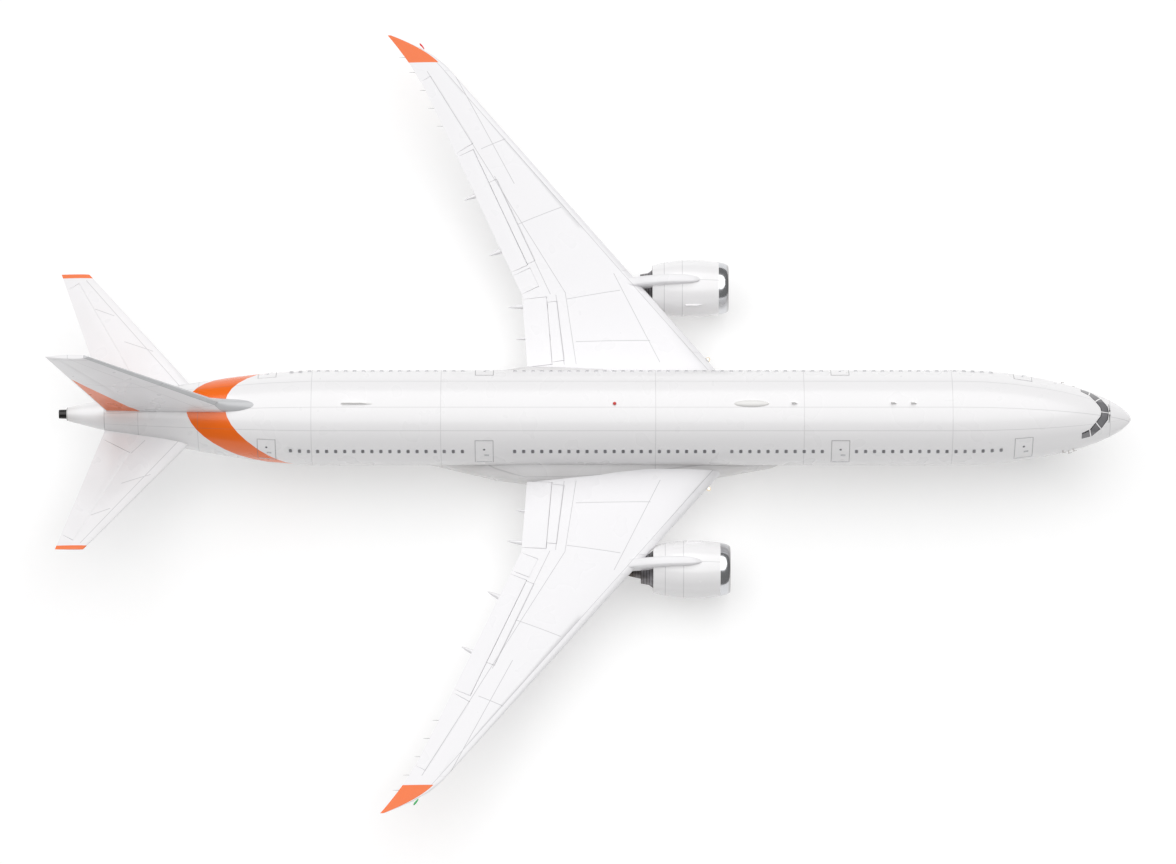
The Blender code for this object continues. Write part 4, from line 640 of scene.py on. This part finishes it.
for word, side in SIDES:
    colour = "C81E1E" if side > 0.0 else "1E9A4B"
    nav_glass, tree, shader = finish("%s_navigation_lamp_glass" % ("red" if side > 0.0 else "green"), colour,
                                     0.1, Coat_Weight=0.6, Emission_Strength=0.3)
    shader.inputs["Emission Color"].default_value = linear(colour)
    point, x, y, z = place_of(tree)
    fluted = add(tree, "TexWave", {"Vector": point, "Scale": 30.0}, bands_direction="X")
    tree.links.new(ramp(tree, fluted, 0.0, 1.0, 0.06, 0.2), shader.inputs["Roughness"])
    lamp = begin("nav_lamp_" + word, "uv_sphere", nav_glass, segments=20, ring_count=12, radius=1.0,
                 location=(NAV_SPOT[0], side * NAV_SPOT[1], wing_mid_z(NAV_SPOT[1])),
                 rotation=(0.0, 0.0, side * math.radians(-55.0)), scale=(0.13, 0.035, 0.030))
    bpy.ops.object.mode_set(mode="EDIT")
    bpy.ops.mesh.select_all(action="SELECT")
    bpy.ops.mesh.bisect(plane_co=(NAV_SPOT[0] - 0.03, side * NAV_SPOT[1], 0.0), plane_no=(1.0, side * 0.9, 0.0),
                        clear_inner=True, use_fill=True)
    leave()
    soften(lamp)
    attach(lamp, "airframe")
    landing = begin("landing_lamp_" + word, "uv_sphere", frame_metal, lamp_glass, segments=28, ring_count=16,
                    radius=1.0, location=(LANDING_SPOT[0], side * LANDING_SPOT[1], LANDING_SPOT[2]),
                    rotation=(0.0, 0.0, side * math.radians(-40.6)), scale=(0.085, 0.125, 0.050))
    bpy.ops.object.mode_set(mode="EDIT")
    bpy.ops.mesh.select_all(action="SELECT")
    bpy.ops.mesh.bisect(plane_co=(LANDING_SPOT[0], side * LANDING_SPOT[1], LANDING_SPOT[2]),
                        plane_no=(0.759, side * 0.651, 0.0), clear_inner=True, use_fill=True)
    leave()
    paint_faces(landing, 1, lambda middle, normal: (middle.x - LANDING_SPOT[0]) * 0.759
                + (side * middle.y - LANDING_SPOT[1]) * 0.651 > 0.018)
    soften(landing)
    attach(landing, "airframe")
wick = begin("wick", "cylinder", wick_black, vertices=8, radius=0.006, depth=0.22,
             rotation=(0.0, math.radians(-90.0), 0.0), location=(-0.10, 0.0, 0.0))
pick(wick, lambda middle, normal: normal.x < -0.9)
bpy.ops.transform.resize(value=(1.0, 0.4, 0.4))
leave()
for word, side in SIDES:
    for body, spans in (("aileron_" + word, WICK_YS[:3]), ("airframe", WICK_YS[3:])):
        places = [Matrix.Translation((trailing_x(at) + 0.008, side * at, wing_mid_z(at))) for at in spans]
        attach(copies(wick, "static_wicks_%s_%s" % (body.split("_")[0], word), places), body)
drop(wick)

# Engines: painted composite cowls with a polished lip of drawn aluminium, perforated grey
# liners, wide titanium blades round a spinner with its white swirl, and a ribbed nickel-alloy
# core cowl and plug, browned by heat.

ENGINE_Y, ENGINE_Z = 4.70, 1.38
LINER_R = 0.742
COWL_LINES = (2.21, 2.79)
HOLE_MM = 30.0


def round_engine(tree, y, z):
    """Distance from the engine's centre line, for either engine."""
    across = add(tree, "Math", (add(tree, "Math", (y,), operation="ABSOLUTE"), ENGINE_Y), operation="SUBTRACT")
    up = add(tree, "Math", (z, ENGINE_Z), operation="SUBTRACT")
    flat = add(tree, "CombineXYZ", (across, up))
    return across, up, add(tree, "VectorMath", (flat,), "Value", operation="LENGTH")


cowl_paint, tree, shader = finish("gloss_white_cowl_and_perforated_liner", WHITE, 0.24, Coat_Weight=0.35,
                                  Coat_Roughness=0.06)
point, x, y, z = place_of(tree)
patches = wear(tree, shader, point, 0.22, 0.28)
across, up, reach = round_engine(tree, y, z)
inside = add(tree, "Math", (ramp(tree, reach, LINER_R, LINER_R + 0.004, 1.0, 0.0),
                            ramp(tree, x, 1.84, 1.90)), operation="MULTIPLY")
drawn = ramp(tree, smallest(tree, [*(away(tree, x, spot) for spot in COWL_LINES),
                                   away(tree, across, 0.0)]), LINE_CORE, LINE_EDGE, 0.3, 0.0)
colour = mix(tree, drawn, linear(WHITE), linear(JOINT_GREY))
streaks = add(tree, "Math", (ramp(tree, up, -0.3, -0.9), patches), operation="MULTIPLY")
colour = mix(tree, streaks, colour, linear(DIRT_AND_SHADE_GREY))
holes = add(tree, "TexVoronoi", {"Vector": point, "Scale": 1000.0 / HOLE_MM, "Randomness": 0.15})
liner = mix(tree, ramp(tree, holes, 0.25, 0.35), linear("3E3F42"), linear("8C8D90"))
tree.links.new(mix(tree, inside, colour, liner), shader.inputs["Base Color"])

lip_metal, tree, shader = finish("polished_aluminium_inlet_lip_spun_and_buffed", "D9DADD", 0.14, Metallic=1.0)
point, x, y, z = place_of(tree)
across, up, reach = round_engine(tree, y, z)
buffed = add(tree, "TexNoise", {"Vector": add(tree, "Mapping", {"Vector": point, "Scale": (120.0, 3.0, 3.0)}),
                                "Scale": 1.0, "Detail": 3.0})
tree.links.new(ramp(tree, buffed, 0.3, 0.7, 0.10, 0.22), shader.inputs["Roughness"])
tree.links.new(mix(tree, ramp(tree, x, 4.19, 4.27), linear("D3D4D7"), linear("B4B3B3")), shader.inputs["Base Color"])

core_metal, tree, shader = finish("heat_browned_nickel_alloy_core_cowl", "77757A", 0.42, Metallic=0.9)
point, x, y, z = place_of(tree)
across, up, reach = round_engine(tree, y, z)
ribs = add(tree, "Math", (x, 0.045), operation="PINGPONG")
heat = add(tree, "TexNoise", {"Vector": point, "Scale": 5.0, "Detail": 5.0})
colour = mix(tree, ramp(tree, add(tree, "Math", (heat, ramp(tree, x, 1.9, 0.9, -0.2, 0.5)), operation="ADD"),
                        0.3, 0.9), linear("8B898D"), linear("57504B"))
colour = mix(tree, ramp(tree, ribs, 0.006, 0.012, 0.75, 0.0), colour, linear("2A2829"))
tree.links.new(mix(tree, ramp(tree, x, 2.10, 2.16), colour, linear("55575B")), shader.inputs["Base Color"])
tree.links.new(ramp(tree, heat, 0.3, 0.7, 0.34, 0.55), shader.inputs["Roughness"])

fan_metal, tree, shader = finish("forged_titanium_blades_and_dark_spinner", "4A4B50", 0.30, Metallic=0.9)
point, x, y, z = place_of(tree)
across, up, reach = round_engine(tree, y, z)
angle = add(tree, "Math", (up, across), operation="ARCTAN2")
swirl = add(tree, "Math", (angle, add(tree, "Math", (reach, 24.0), operation="MULTIPLY")), operation="ADD")
swirl = add(tree, "Math", (add(tree, "Math", (swirl,), operation="COSINE"), 0.72), operation="GREATER_THAN")
on_spinner = add(tree, "Math", (ramp(tree, reach, 0.19, 0.195, 1.0, 0.0), swirl), operation="MULTIPLY")
grain = add(tree, "TexNoise", {"Vector": point, "Scale": 14.0, "Detail": 4.0})
colour = mix(tree, grain, linear("3C3D42"), linear("5E5F64"))
colour = mix(tree, ramp(tree, reach, 0.655, 0.70, 0.0, 0.5), colour, linear("A5A6A9"))
tree.links.new(mix(tree, on_spinner, colour, linear("EDEDEC")), shader.inputs["Base Color"])
tree.links.new(ramp(tree, grain, 0.3, 0.7, 0.24, 0.38), shader.inputs["Roughness"])


def curved(spots, parts=3):
    """More points on a smooth curve through a run of profile points."""
    run = [Vector(spot) for spot in spots]
    run = [run[0] * 2.0 - run[1], *run, run[-1] * 2.0 - run[-2]]
    made = []
    for before, start, end, after in zip(run, run[1:], run[2:], run[3:]):
        for part in range(parts):
            t = part / parts
            made.append((start * 2.0 + (end - before) * t + (before * 2.0 - start * 5.0 + end * 4.0 - after) * t ** 2
                         + (start * 3.0 - before - end * 3.0 + after) * t ** 3) / 2.0)
    return [tuple(spot) for spot in made] + [tuple(spots[-1])]


def lathed(name, material, side, profile, closed=True, steps=72):
    """A turned piece on the engine's centre line: a ring, drawn along its profile edge by edge."""
    turned = begin(name, "circle", material, vertices=steps, radius=profile[0][1],
                   rotation=(0.0, math.radians(90.0), 0.0), location=(profile[0][0], side * ENGINE_Y, ENGINE_Z))
    bpy.ops.object.mode_set(mode="EDIT")
    bpy.ops.mesh.select_mode(type="EDGE")
    bpy.ops.mesh.select_all(action="SELECT")
    for (x0, r0), (x1, r1) in zip(profile, profile[1:]):
        bpy.ops.mesh.extrude_region_move(TRANSFORM_OT_translate={"value": (x1 - x0, 0.0, 0.0)})
        bpy.ops.transform.resize(value=(1.0, max(r1, 0.0001) / r0, max(r1, 0.0001) / r0),
                                 center_override=(x1, side * ENGINE_Y, ENGINE_Z))
    bpy.ops.mesh.select_all(action="DESELECT")
    bpy.ops.mesh.select_non_manifold()
    if closed:
        bpy.ops.mesh.bridge_edge_loops()
    else:
        bpy.ops.mesh.select_all(action="SELECT")
        bpy.ops.mesh.remove_doubles(threshold=0.0005)
    bpy.ops.mesh.select_all(action="SELECT")
    bpy.ops.mesh.normals_make_consistent(inside=False)
    leave()
    soften(turned, 32.0)
    return turned


COWL_OUT = ((3.96, 0.850), (3.55, 0.900), (3.17, 0.916), (2.70, 0.905), (2.25, 0.845), (1.83, 0.748))
COWL_IN = ((1.83, 0.728), (2.30, 0.742), (2.90, 0.735), (3.15, 0.720), (3.60, 0.720), (3.96, 0.665))
LIP = ((3.9603, 0.850), (4.12, 0.815), (4.22, 0.775), (4.27, 0.735), (4.28, 0.705), (4.25, 0.672), (4.14, 0.652),
       (3.9603, 0.665))
CORE = ((3.12, 0.0002), (3.12, 0.25), (2.95, 0.33), (2.50, 0.52), (2.10, 0.60), (1.83, 0.60), (1.70, 0.50),
        (1.44, 0.45), (1.44, 0.30), (1.05, 0.21), (0.80, 0.09), (0.74, 0.0002))
VANE_COUNT = 10

for word, side in SIDES:
    cowl = lathed("cowl_" + word, cowl_paint, side, curved(COWL_OUT, 4) + curved(COWL_IN, 3))
    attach(cowl, "airframe")
    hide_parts("nacelle_" + word)
    lip = lathed("polished_lip_" + word, lip_metal, side, curved(LIP, 4))
    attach(lip, "airframe")
    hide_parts("inlet_lip_" + word)
    core = lathed("core_cowl_" + word, core_metal, side, [*CORE[:2], *curved(CORE[2:6], 3), *CORE[6:8],
                                                          *curved(CORE[8:], 4)], False)
    vane = begin("vane", "cube", core_metal, size=1.0, scale=(0.14, 0.024, 0.523), location=(2.91, 0.0, 0.4615))
    pick(vane, lambda middle, run: abs(run.z) > 0.9, "EDGE")
    bpy.ops.mesh.bevel(offset=0.008, segments=2)
    leave()
    vanes = copies(vane, "vanes", [Matrix.Translation((0.0, side * ENGINE_Y, ENGINE_Z))
                                   @ Matrix.Rotation(math.tau * (number + 0.5) / VANE_COUNT, 4, "X")
                                   for number in range(VANE_COUNT)])
    drop(vane)
    core = join("core_cowl_" + word, [core, vanes])
    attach(core, "airframe")
    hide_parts("engine_core_" + word)
    dress("fan_" + word, fan_metal)

# Nacelle fittings: a pressed strake on the inboard shoulder, an exhaust nozzle rim of bare
# titanium and flush latches along the keel.

NOZZLE_X, NOZZLE_R = 1.83, 0.748
STRAKE = (2.85, 3.65, 0.075)

nozzle_metal, tree, shader = finish("bare_titanium_nozzle_rim", "CFCFD2", 0.3, Metallic=0.85)
point, x, y, z = place_of(tree)
tint = add(tree, "TexNoise", {"Vector": point, "Scale": 9.0, "Detail": 3.0})
tree.links.new(mix(tree, tint, linear("D6D6D8"), linear("B3AEA8")), shader.inputs["Base Color"])
for word, side in SIDES:
    rim = begin("rim", "torus", nozzle_metal, major_segments=64, minor_segments=10, major_radius=NOZZLE_R - 0.008,
                minor_radius=0.010, rotation=(0.0, math.radians(90.0), 0.0),
                location=(NOZZLE_X, side * ENGINE_Y, ENGINE_Z))
    pick(rim, lambda middle, normal: normal.x < -0.7)
    bpy.ops.transform.translate(value=(0.006, 0.0, 0.0))
    leave()
    soften(rim, 60.0)
    turn = math.radians(52.0)
    strake = begin("strake", "cube", cowl_paint, size=1.0, scale=(STRAKE[1] - STRAKE[0], 0.010, STRAKE[2] * 2.0),
                   location=(sum(STRAKE[:2]) / 2.0, 0.0, 0.910))
    pick(strake, lambda middle, normal: normal.z > 0.9)
    bpy.ops.transform.resize(value=(0.45, 0.5, 1.0))
    bpy.ops.transform.translate(value=(-0.16, 0.0, 0.0))
    pick(strake, lambda middle, run: abs(run.y) < 0.5 and middle.z > 0.92, "EDGE")
    bpy.ops.mesh.bevel(offset=0.004, segments=1)
    leave()
    strake.data.transform(Matrix.Translation((0.0, side * ENGINE_Y, ENGINE_Z)) @ Matrix.Rotation(side * turn, 4, "X"))
    latch = begin("latch", "cube", scuff_steel, size=1.0, scale=(0.12, 0.045, 0.012))
    pick(latch, lambda middle, normal: normal.z < -0.9)
    bpy.ops.mesh.inset(thickness=0.008, depth=0.0)
    bpy.ops.mesh.inset(thickness=0.003, depth=-0.003)
    leave()
    latches = copies(latch, "latches", [Matrix.Translation((at, side * ENGINE_Y, ENGINE_Z - low))
                                        for at, low in ((2.3, 0.853), (2.6, 0.886), (2.9, 0.908), (3.2, 0.912))])
    drop(latch)
    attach(join("nacelle_fittings_" + word, [rim, strake, latches]), "airframe")

# Tail surfaces: white composite skins. The fin carries an orange wedge up its trailing edge,
# bare metal leading edges and a dark line where the metal meets the paint, and the tailplanes
# have orange tips.

EDGE_METAL = "C9CACC"
FIN_WEDGE = ((-14.50, 3.56), (-16.47, 6.74))

tail_paint, tree, shader = finish("white_topcoat_on_composite_tail", "F0EFF1", 0.28, Coat_Weight=0.3)
point, x, y, z = place_of(tree)
patches = wear(tree, shader, point, 0.26, 0.33)
lead = add(tree, "Math", (z, -0.80, -8.59), operation="MULTIPLY_ADD")
from_lead = add(tree, "Math", (lead, x), operation="SUBTRACT")
trail = add(tree, "Math", (z, -0.263, -14.679), operation="MULTIPLY_ADD")
from_trail = add(tree, "Math", (x, trail), operation="SUBTRACT")
slope = (FIN_WEDGE[1][0] - FIN_WEDGE[0][0]) / (FIN_WEDGE[1][1] - FIN_WEDGE[0][1])
wedge_x = add(tree, "Math", (z, slope, FIN_WEDGE[0][0] - slope * FIN_WEDGE[0][1]), operation="MULTIPLY_ADD")
wedge = smallest(tree, [ramp(tree, add(tree, "Math", (wedge_x, x), operation="SUBTRACT"), -0.005, 0.005),
                        ramp(tree, from_trail, 0.03, 0.036)])
spar = away(tree, from_lead, 0.62)
drawn = ramp(tree, smallest(tree, [spar, away(tree, z, 6.2), away(tree, z, 4.2), away(tree, z, 8.72)]),
             LINE_CORE, LINE_EDGE, 0.3, 0.0)
drawn = add(tree, "Math", (drawn, ramp(tree, away(tree, from_lead, 0.115), 0.005, 0.010, 0.6, 0.0)),
            operation="MAXIMUM")
colour = mix(tree, add(tree, "Math", (patches, 0.12), operation="MULTIPLY"), linear("F0EFF1"), linear(DIRT_AND_SHADE_GREY))
colour = mix(tree, ramp(tree, from_lead, 0.105, 0.115, 1.0, 0.0), colour, linear(EDGE_METAL))
colour = mix(tree, drawn, colour, linear(JOINT_GREY))
tree.links.new(mix(tree, wedge, colour, linear(ORANGE)), shader.inputs["Base Color"])
dress("fin", tail_paint)
dress("rudder", tail_paint)

plane_paint, tree, shader = finish("white_topcoat_on_tailplane", "F0EFF1", 0.28, Coat_Weight=0.3)
point, x, y, z = place_of(tree)
patches = wear(tree, shader, point, 0.26, 0.33)
span = add(tree, "Math", (y,), operation="ABSOLUTE")
flat = add(tree, "CombineXYZ", (x, span))
lines = [segment(tree, flat, (*start, 0.0), (*end, 0.0))
         for start, end in (((-13.22, 0.9), (-16.25, 4.35)), ((-14.30, 0.9), (-14.72, 1.32)),
                            ((-14.1, 2.05), (-15.0, 2.35)), ((-15.35, 3.2), (-15.95, 3.42)))]
drawn = ramp(tree, smallest(tree, lines), LINE_CORE, LINE_EDGE, 0.36, 0.0)
tip = ramp(tree, span, 4.43, 4.44)
colour = mix(tree, add(tree, "Math", (patches, 0.15), operation="MULTIPLY"), linear("F0EFF1"), linear(DIRT_AND_SHADE_GREY))
colour = mix(tree, drawn, colour, linear(JOINT_GREY))
tree.links.new(mix(tree, tip, colour, linear(ORANGE)), shader.inputs["Base Color"])
for word, side in SIDES:
    dress("stabilizer_" + word, plane_paint)
    dress("elevator_" + word, plane_paint)

# Landing gear: forged steel legs in glossy grey enamel with hard-chromed pistons, and twin wheels
# on forged aluminium hubs. It isn't in the photograph.

MAIN_X, MAIN_Y, MAIN_WHEEL_R = -0.65, 2.45, 0.343
MAIN_WHEEL_XS = (("front", -0.27), ("rear", -1.03))
MAIN_TYRE = (0.325, 0.130)
NOSE_X, NOSE_WHEEL_R = 13.90, 0.254
NOSE_TYRE = (0.190, 0.098)
PISTON_TOP_Z = 0.86
HOSE_R = 0.008

leg_enamel, tree, shader = finish("grey_enamel_on_forged_steel_with_chromed_piston", "B4B6B9", 0.32, Coat_Weight=0.2)
point, x, y, z = place_of(tree)
patches = wear(tree, shader, point, 0.26, 0.45, 180.0, 10.0)
span = add(tree, "Math", (y,), operation="ABSOLUTE")
main_reach = add(tree, "VectorMath", (add(tree, "CombineXYZ", (away(tree, x, MAIN_X), away(tree, span, MAIN_Y))),),
                 "Value", operation="LENGTH")
nose_reach = add(tree, "VectorMath", (add(tree, "CombineXYZ", (away(tree, x, NOSE_X), span)),), "Value",
                 operation="LENGTH")
main_chrome = smallest(tree, [ramp(tree, main_reach, 0.070, 0.071, 1.0, 0.0), ramp(tree, z, 0.455, 0.460),
                              ramp(tree, z, PISTON_TOP_Z - 0.004, PISTON_TOP_Z, 1.0, 0.0)])
nose_chrome = smallest(tree, [ramp(tree, nose_reach, 0.048, 0.049, 1.0, 0.0), ramp(tree, z, 0.340, 0.345),
                              ramp(tree, z, 0.545, 0.55, 1.0, 0.0)])
chrome = add(tree, "Math", (main_chrome, nose_chrome), operation="MAXIMUM")
grease = add(tree, "TexNoise", {"Vector": point, "Scale": 16.0, "Detail": 5.0})
colour = mix(tree, ramp(tree, grease, 0.5, 0.75, 0.0, 0.55), linear("B9BBBE"), linear("6B675F"))
tree.links.new(mix(tree, chrome, colour, linear("DADBDE")), shader.inputs["Base Color"])
tree.links.new(chrome, shader.inputs["Metallic"])
for name in ("nose_gear_leg", "nose_steering", "main_gear_left", "main_gear_right"):
    dress(name, leg_enamel)

door_paint, tree, shader = finish("white_topcoat_on_bonded_gear_door", "EFEEF0", 0.28, Coat_Weight=0.3)
point, x, y, z = place_of(tree)
patches = wear(tree, shader, point, 0.22, 0.40, 300.0, 20.0)
ribs = ramp(tree, add(tree, "Math", (z, 0.12), operation="PINGPONG"), 0.006, 0.012, 0.25, 0.0)
splash = add(tree, "Math", (ramp(tree, z, 1.2, 0.7), patches), operation="MULTIPLY")
colour = mix(tree, splash, linear("EFEEF0"), linear(DIRT_AND_SHADE_GREY))
tree.links.new(mix(tree, ribs, colour, linear(JOINT_GREY)), shader.inputs["Base Color"])
for name in ("nose_gear_door_left", "nose_gear_door_right", "main_gear_door_left", "main_gear_door_right"):
    dress(name, door_paint)

tyre_rubber, tree, shader = finish("moulded_black_tyre_rubber_with_grooves", "1C1C1D", 0.78)
point, x, y, z = place_of(tree)
span = add(tree, "Math", (y,), operation="ABSOLUTE")
tread = add(tree, "TexNoise", {"Vector": point, "Scale": 45.0, "Detail": 4.0})
tree.links.new(mix(tree, ramp(tree, tread, 0.35, 0.7), linear("191919"), linear("2E2D2C")),
               shader.inputs["Base Color"])
tree.links.new(ramp(tree, tread, 0.3, 0.7, 0.68, 0.88), shader.inputs["Roughness"])
tree.links.new(add(tree, "Bump", {"Height": tread, "Distance": 0.001, "Strength": 0.3}), shader.inputs["Normal"])
hub_metal, tree, shader = finish("white_enamel_on_forged_aluminium_hub", "D8D9DA", 0.36, Coat_Weight=0.2)
point, x, y, z = place_of(tree)
patches = wear(tree, shader, point, 0.30, 0.5, 90.0, 8.0)
dust = add(tree, "TexNoise", {"Vector": point, "Scale": 20.0, "Detail": 5.0})
tree.links.new(mix(tree, ramp(tree, dust, 0.45, 0.75, 0.0, 0.35), linear("D8D9DA"), linear("6E6A65")),
               shader.inputs["Base Color"])
brake_metal, tree, shader = finish("carbon_brake_pack_and_steel_axle", "4B4B4E", 0.5, Metallic=0.5)
point, x, y, z = place_of(tree)
discs = add(tree, "Math", (y, 0.008), operation="PINGPONG")
tree.links.new(mix(tree, ramp(tree, discs, 0.003, 0.005), linear("2B2B2D"), linear("5C5B5D")),
               shader.inputs["Base Color"])


def make_tyre(name, wheel_r, half, bead):
    """A tyre about the Y axis: a drum with rounded shoulders, its sides drawn in to the bead."""
    tyre = begin(name, "cylinder", tyre_rubber, vertices=32, radius=wheel_r, depth=half * 2.0,
                 rotation=(math.radians(90.0), 0.0, 0.0))
    pick(tyre, lambda middle, run: abs(run.y) < 0.1, "EDGE")
    bpy.ops.mesh.bevel(offset=half * 0.52, segments=2)
    pick(tyre, lambda middle, normal: abs(normal.y) > 0.98)
    bpy.ops.mesh.inset(thickness=wheel_r - half * 0.52 - bead, depth=-half * 0.16)
    bpy.ops.mesh.delete(type="FACE")
    pick(tyre, lambda middle, run: (middle.x ** 2 + middle.z ** 2) ** 0.5 < bead * 1.005, "EDGE")
    bpy.ops.mesh.bridge_edge_loops()
    bpy.ops.mesh.select_all(action="SELECT")
    bpy.ops.mesh.normals_make_consistent(inside=False)
    leave()
    soften(tyre, 45.0)
    return tyre


def make_hub(name, bead, half):
    """A dished hub about the Y axis, outboard to +Y, with a ring of tie bolts and a hub cap."""
    hub = begin(name, "cylinder", hub_metal, vertices=32, radius=bead - 0.002, depth=half * 1.66,
                rotation=(math.radians(90.0), 0.0, 0.0))
    pick(hub, lambda middle, normal: normal.y > 0.98)
    bpy.ops.mesh.inset(thickness=0.016, depth=0.0)
    bpy.ops.mesh.inset(thickness=0.010, depth=-half * 0.55)
    bpy.ops.mesh.inset(thickness=bead * 0.30, depth=half * 0.12)
    bpy.ops.mesh.inset(thickness=bead * 0.16, depth=half * 0.10)
    bpy.ops.mesh.inset(thickness=0.010, depth=half * 0.28)
    bpy.ops.mesh.inset(thickness=0.012, depth=0.006)
    leave()
    soften(hub, 40.0)
    bolt = begin("bolt", "cylinder", scuff_steel, vertices=6, radius=0.008, depth=0.022,
                 rotation=(math.radians(90.0), 0.0, 0.0), location=(bead * 0.66, half * 0.34, 0.0))
    pick(bolt, lambda middle, normal: normal.y > 0.9)
    bpy.ops.mesh.inset(thickness=0.002, depth=0.002)
    leave()
    bolts = copies(bolt, "bolts", [Matrix.Rotation(math.tau * number / 10, 4, "Y") for number in range(10)])
    drop(bolt)
    slot = hub.data.materials.values()
    return join(name, [hub, bolts])


def make_wheels(name, body, centre, wheel_r, tyre_at, axle_r):
    middle, half = tyre_at
    bead = wheel_r * 0.54
    tyre = make_tyre("tyre", wheel_r, half, bead)
    hub = make_hub("hub", bead, half)
    out, back = Matrix.Translation((0.0, middle, 0.0)), Matrix.Translation((0.0, -middle, 0.0))
    flip = Matrix.Rotation(math.pi, 4, "Z")
    tyres = copies(tyre, "tyres", [out, back @ flip])
    hubs = copies(hub, "hubs", [out, back @ flip])
    inner = middle - half - 0.035
    axle = begin("axle", "cylinder", brake_metal, vertices=24, radius=axle_r, depth=middle * 2.0,
                 rotation=(math.radians(90.0), 0.0, 0.0))
    pick(axle, lambda at, normal: abs(normal.y) > 0.9)
    bpy.ops.mesh.inset(thickness=axle_r * 0.3, depth=0.004)
    leave()
    drum = begin("drum", "cylinder", brake_metal, vertices=28, radius=wheel_r * 0.41, depth=half,
                 rotation=(math.radians(90.0), 0.0, 0.0), location=(0.0, inner + half / 2.0, 0.0))
    pick(drum, lambda at, normal: normal.y < -0.9)
    bpy.ops.mesh.inset(thickness=wheel_r * 0.10, depth=0.0)
    bpy.ops.mesh.inset(thickness=0.006, depth=-0.008)
    leave()
    drums = copies(drum, "drums", [Matrix.Identity(4), flip])
    for obj in (tyre, hub, drum):
        drop(obj)
    wheels = join(name, [tyres, hubs, axle, drums])
    wheels.data.transform(Matrix.Translation(centre))
    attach(wheels, body)
    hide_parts(body)


for word, side in SIDES:
    for label, at in MAIN_WHEEL_XS:
        make_wheels("main_wheels_%s_%s" % (label, word), "wheels_%s_%s" % (label, word),
                    Vector((at, side * MAIN_Y, MAIN_WHEEL_R)), MAIN_WHEEL_R, MAIN_TYRE, 0.045)
make_wheels("nose_wheel_pair", "nose_wheels", Vector((NOSE_X, 0.0, NOSE_WHEEL_R)), NOSE_WHEEL_R, NOSE_TYRE, 0.032)

# Stage: a plain pale floor under one broad soft light overhead, and the camera high on the
# starboard side, looking down at 73 degrees.

FLOOR_REACH = 1600.0
CAMERA_LENS = 200.0
CAMERA_REACH = 208.0
CAMERA_TILT = math.radians(73.0)
LOOK_AT = Vector((-0.24, -0.4355, 2.367))

floor_paper, tree, shader = finish("pale_matt_studio_paper", "D2D2D2", 0.95, Emission_Strength=0.38)
shader.inputs["Emission Color"].default_value = linear("FFFFFF")
point, x, y, z = place_of(tree)
fibre = add(tree, "TexNoise", {"Vector": point, "Scale": 30.0, "Detail": 3.0})
tree.links.new(add(tree, "Bump", {"Height": fibre, "Distance": 0.0005, "Strength": 0.02}), shader.inputs["Normal"])
floor = begin("studio_floor", "circle", floor_paper, vertices=96, radius=FLOOR_REACH, fill_type="NGON")
pick(floor, lambda middle, normal: True)
bpy.ops.mesh.inset(thickness=FLOOR_REACH * 0.4, depth=0.0)
leave()

camera_data = bpy.data.cameras.new("camera")
camera_data.lens = CAMERA_LENS
camera_data.clip_end = 5000.0
camera = bpy.data.objects.new("camera", camera_data)
bpy.context.scene.collection.objects.link(camera)
back = Vector((0.0, -math.cos(CAMERA_TILT), math.sin(CAMERA_TILT)))
camera.location = LOOK_AT + back * CAMERA_REACH
camera.rotation_euler = (-back).to_track_quat("-Z", "Y").to_euler()
bpy.context.scene.camera = camera

world = bpy.data.worlds.new("studio")
world.use_nodes = True
world.node_tree.nodes["Background"].inputs["Strength"].default_value = 0.2
world.node_tree.nodes["Background"].inputs["Color"].default_value = (1.0, 1.0, 1.0, 1.0)
bpy.context.scene.world = world
sun_data = bpy.data.lights.new("overhead_softbox", "SUN")
sun_data.energy = 2.55
sun_data.angle = math.radians(80.0)
sun = bpy.data.objects.new("overhead_softbox", sun_data)
sun.rotation_euler = (math.radians(-12.0), 0.0, 0.0)
bpy.context.scene.collection.objects.link(sun)
bpy.context.scene.view_settings.view_transform = "Standard"
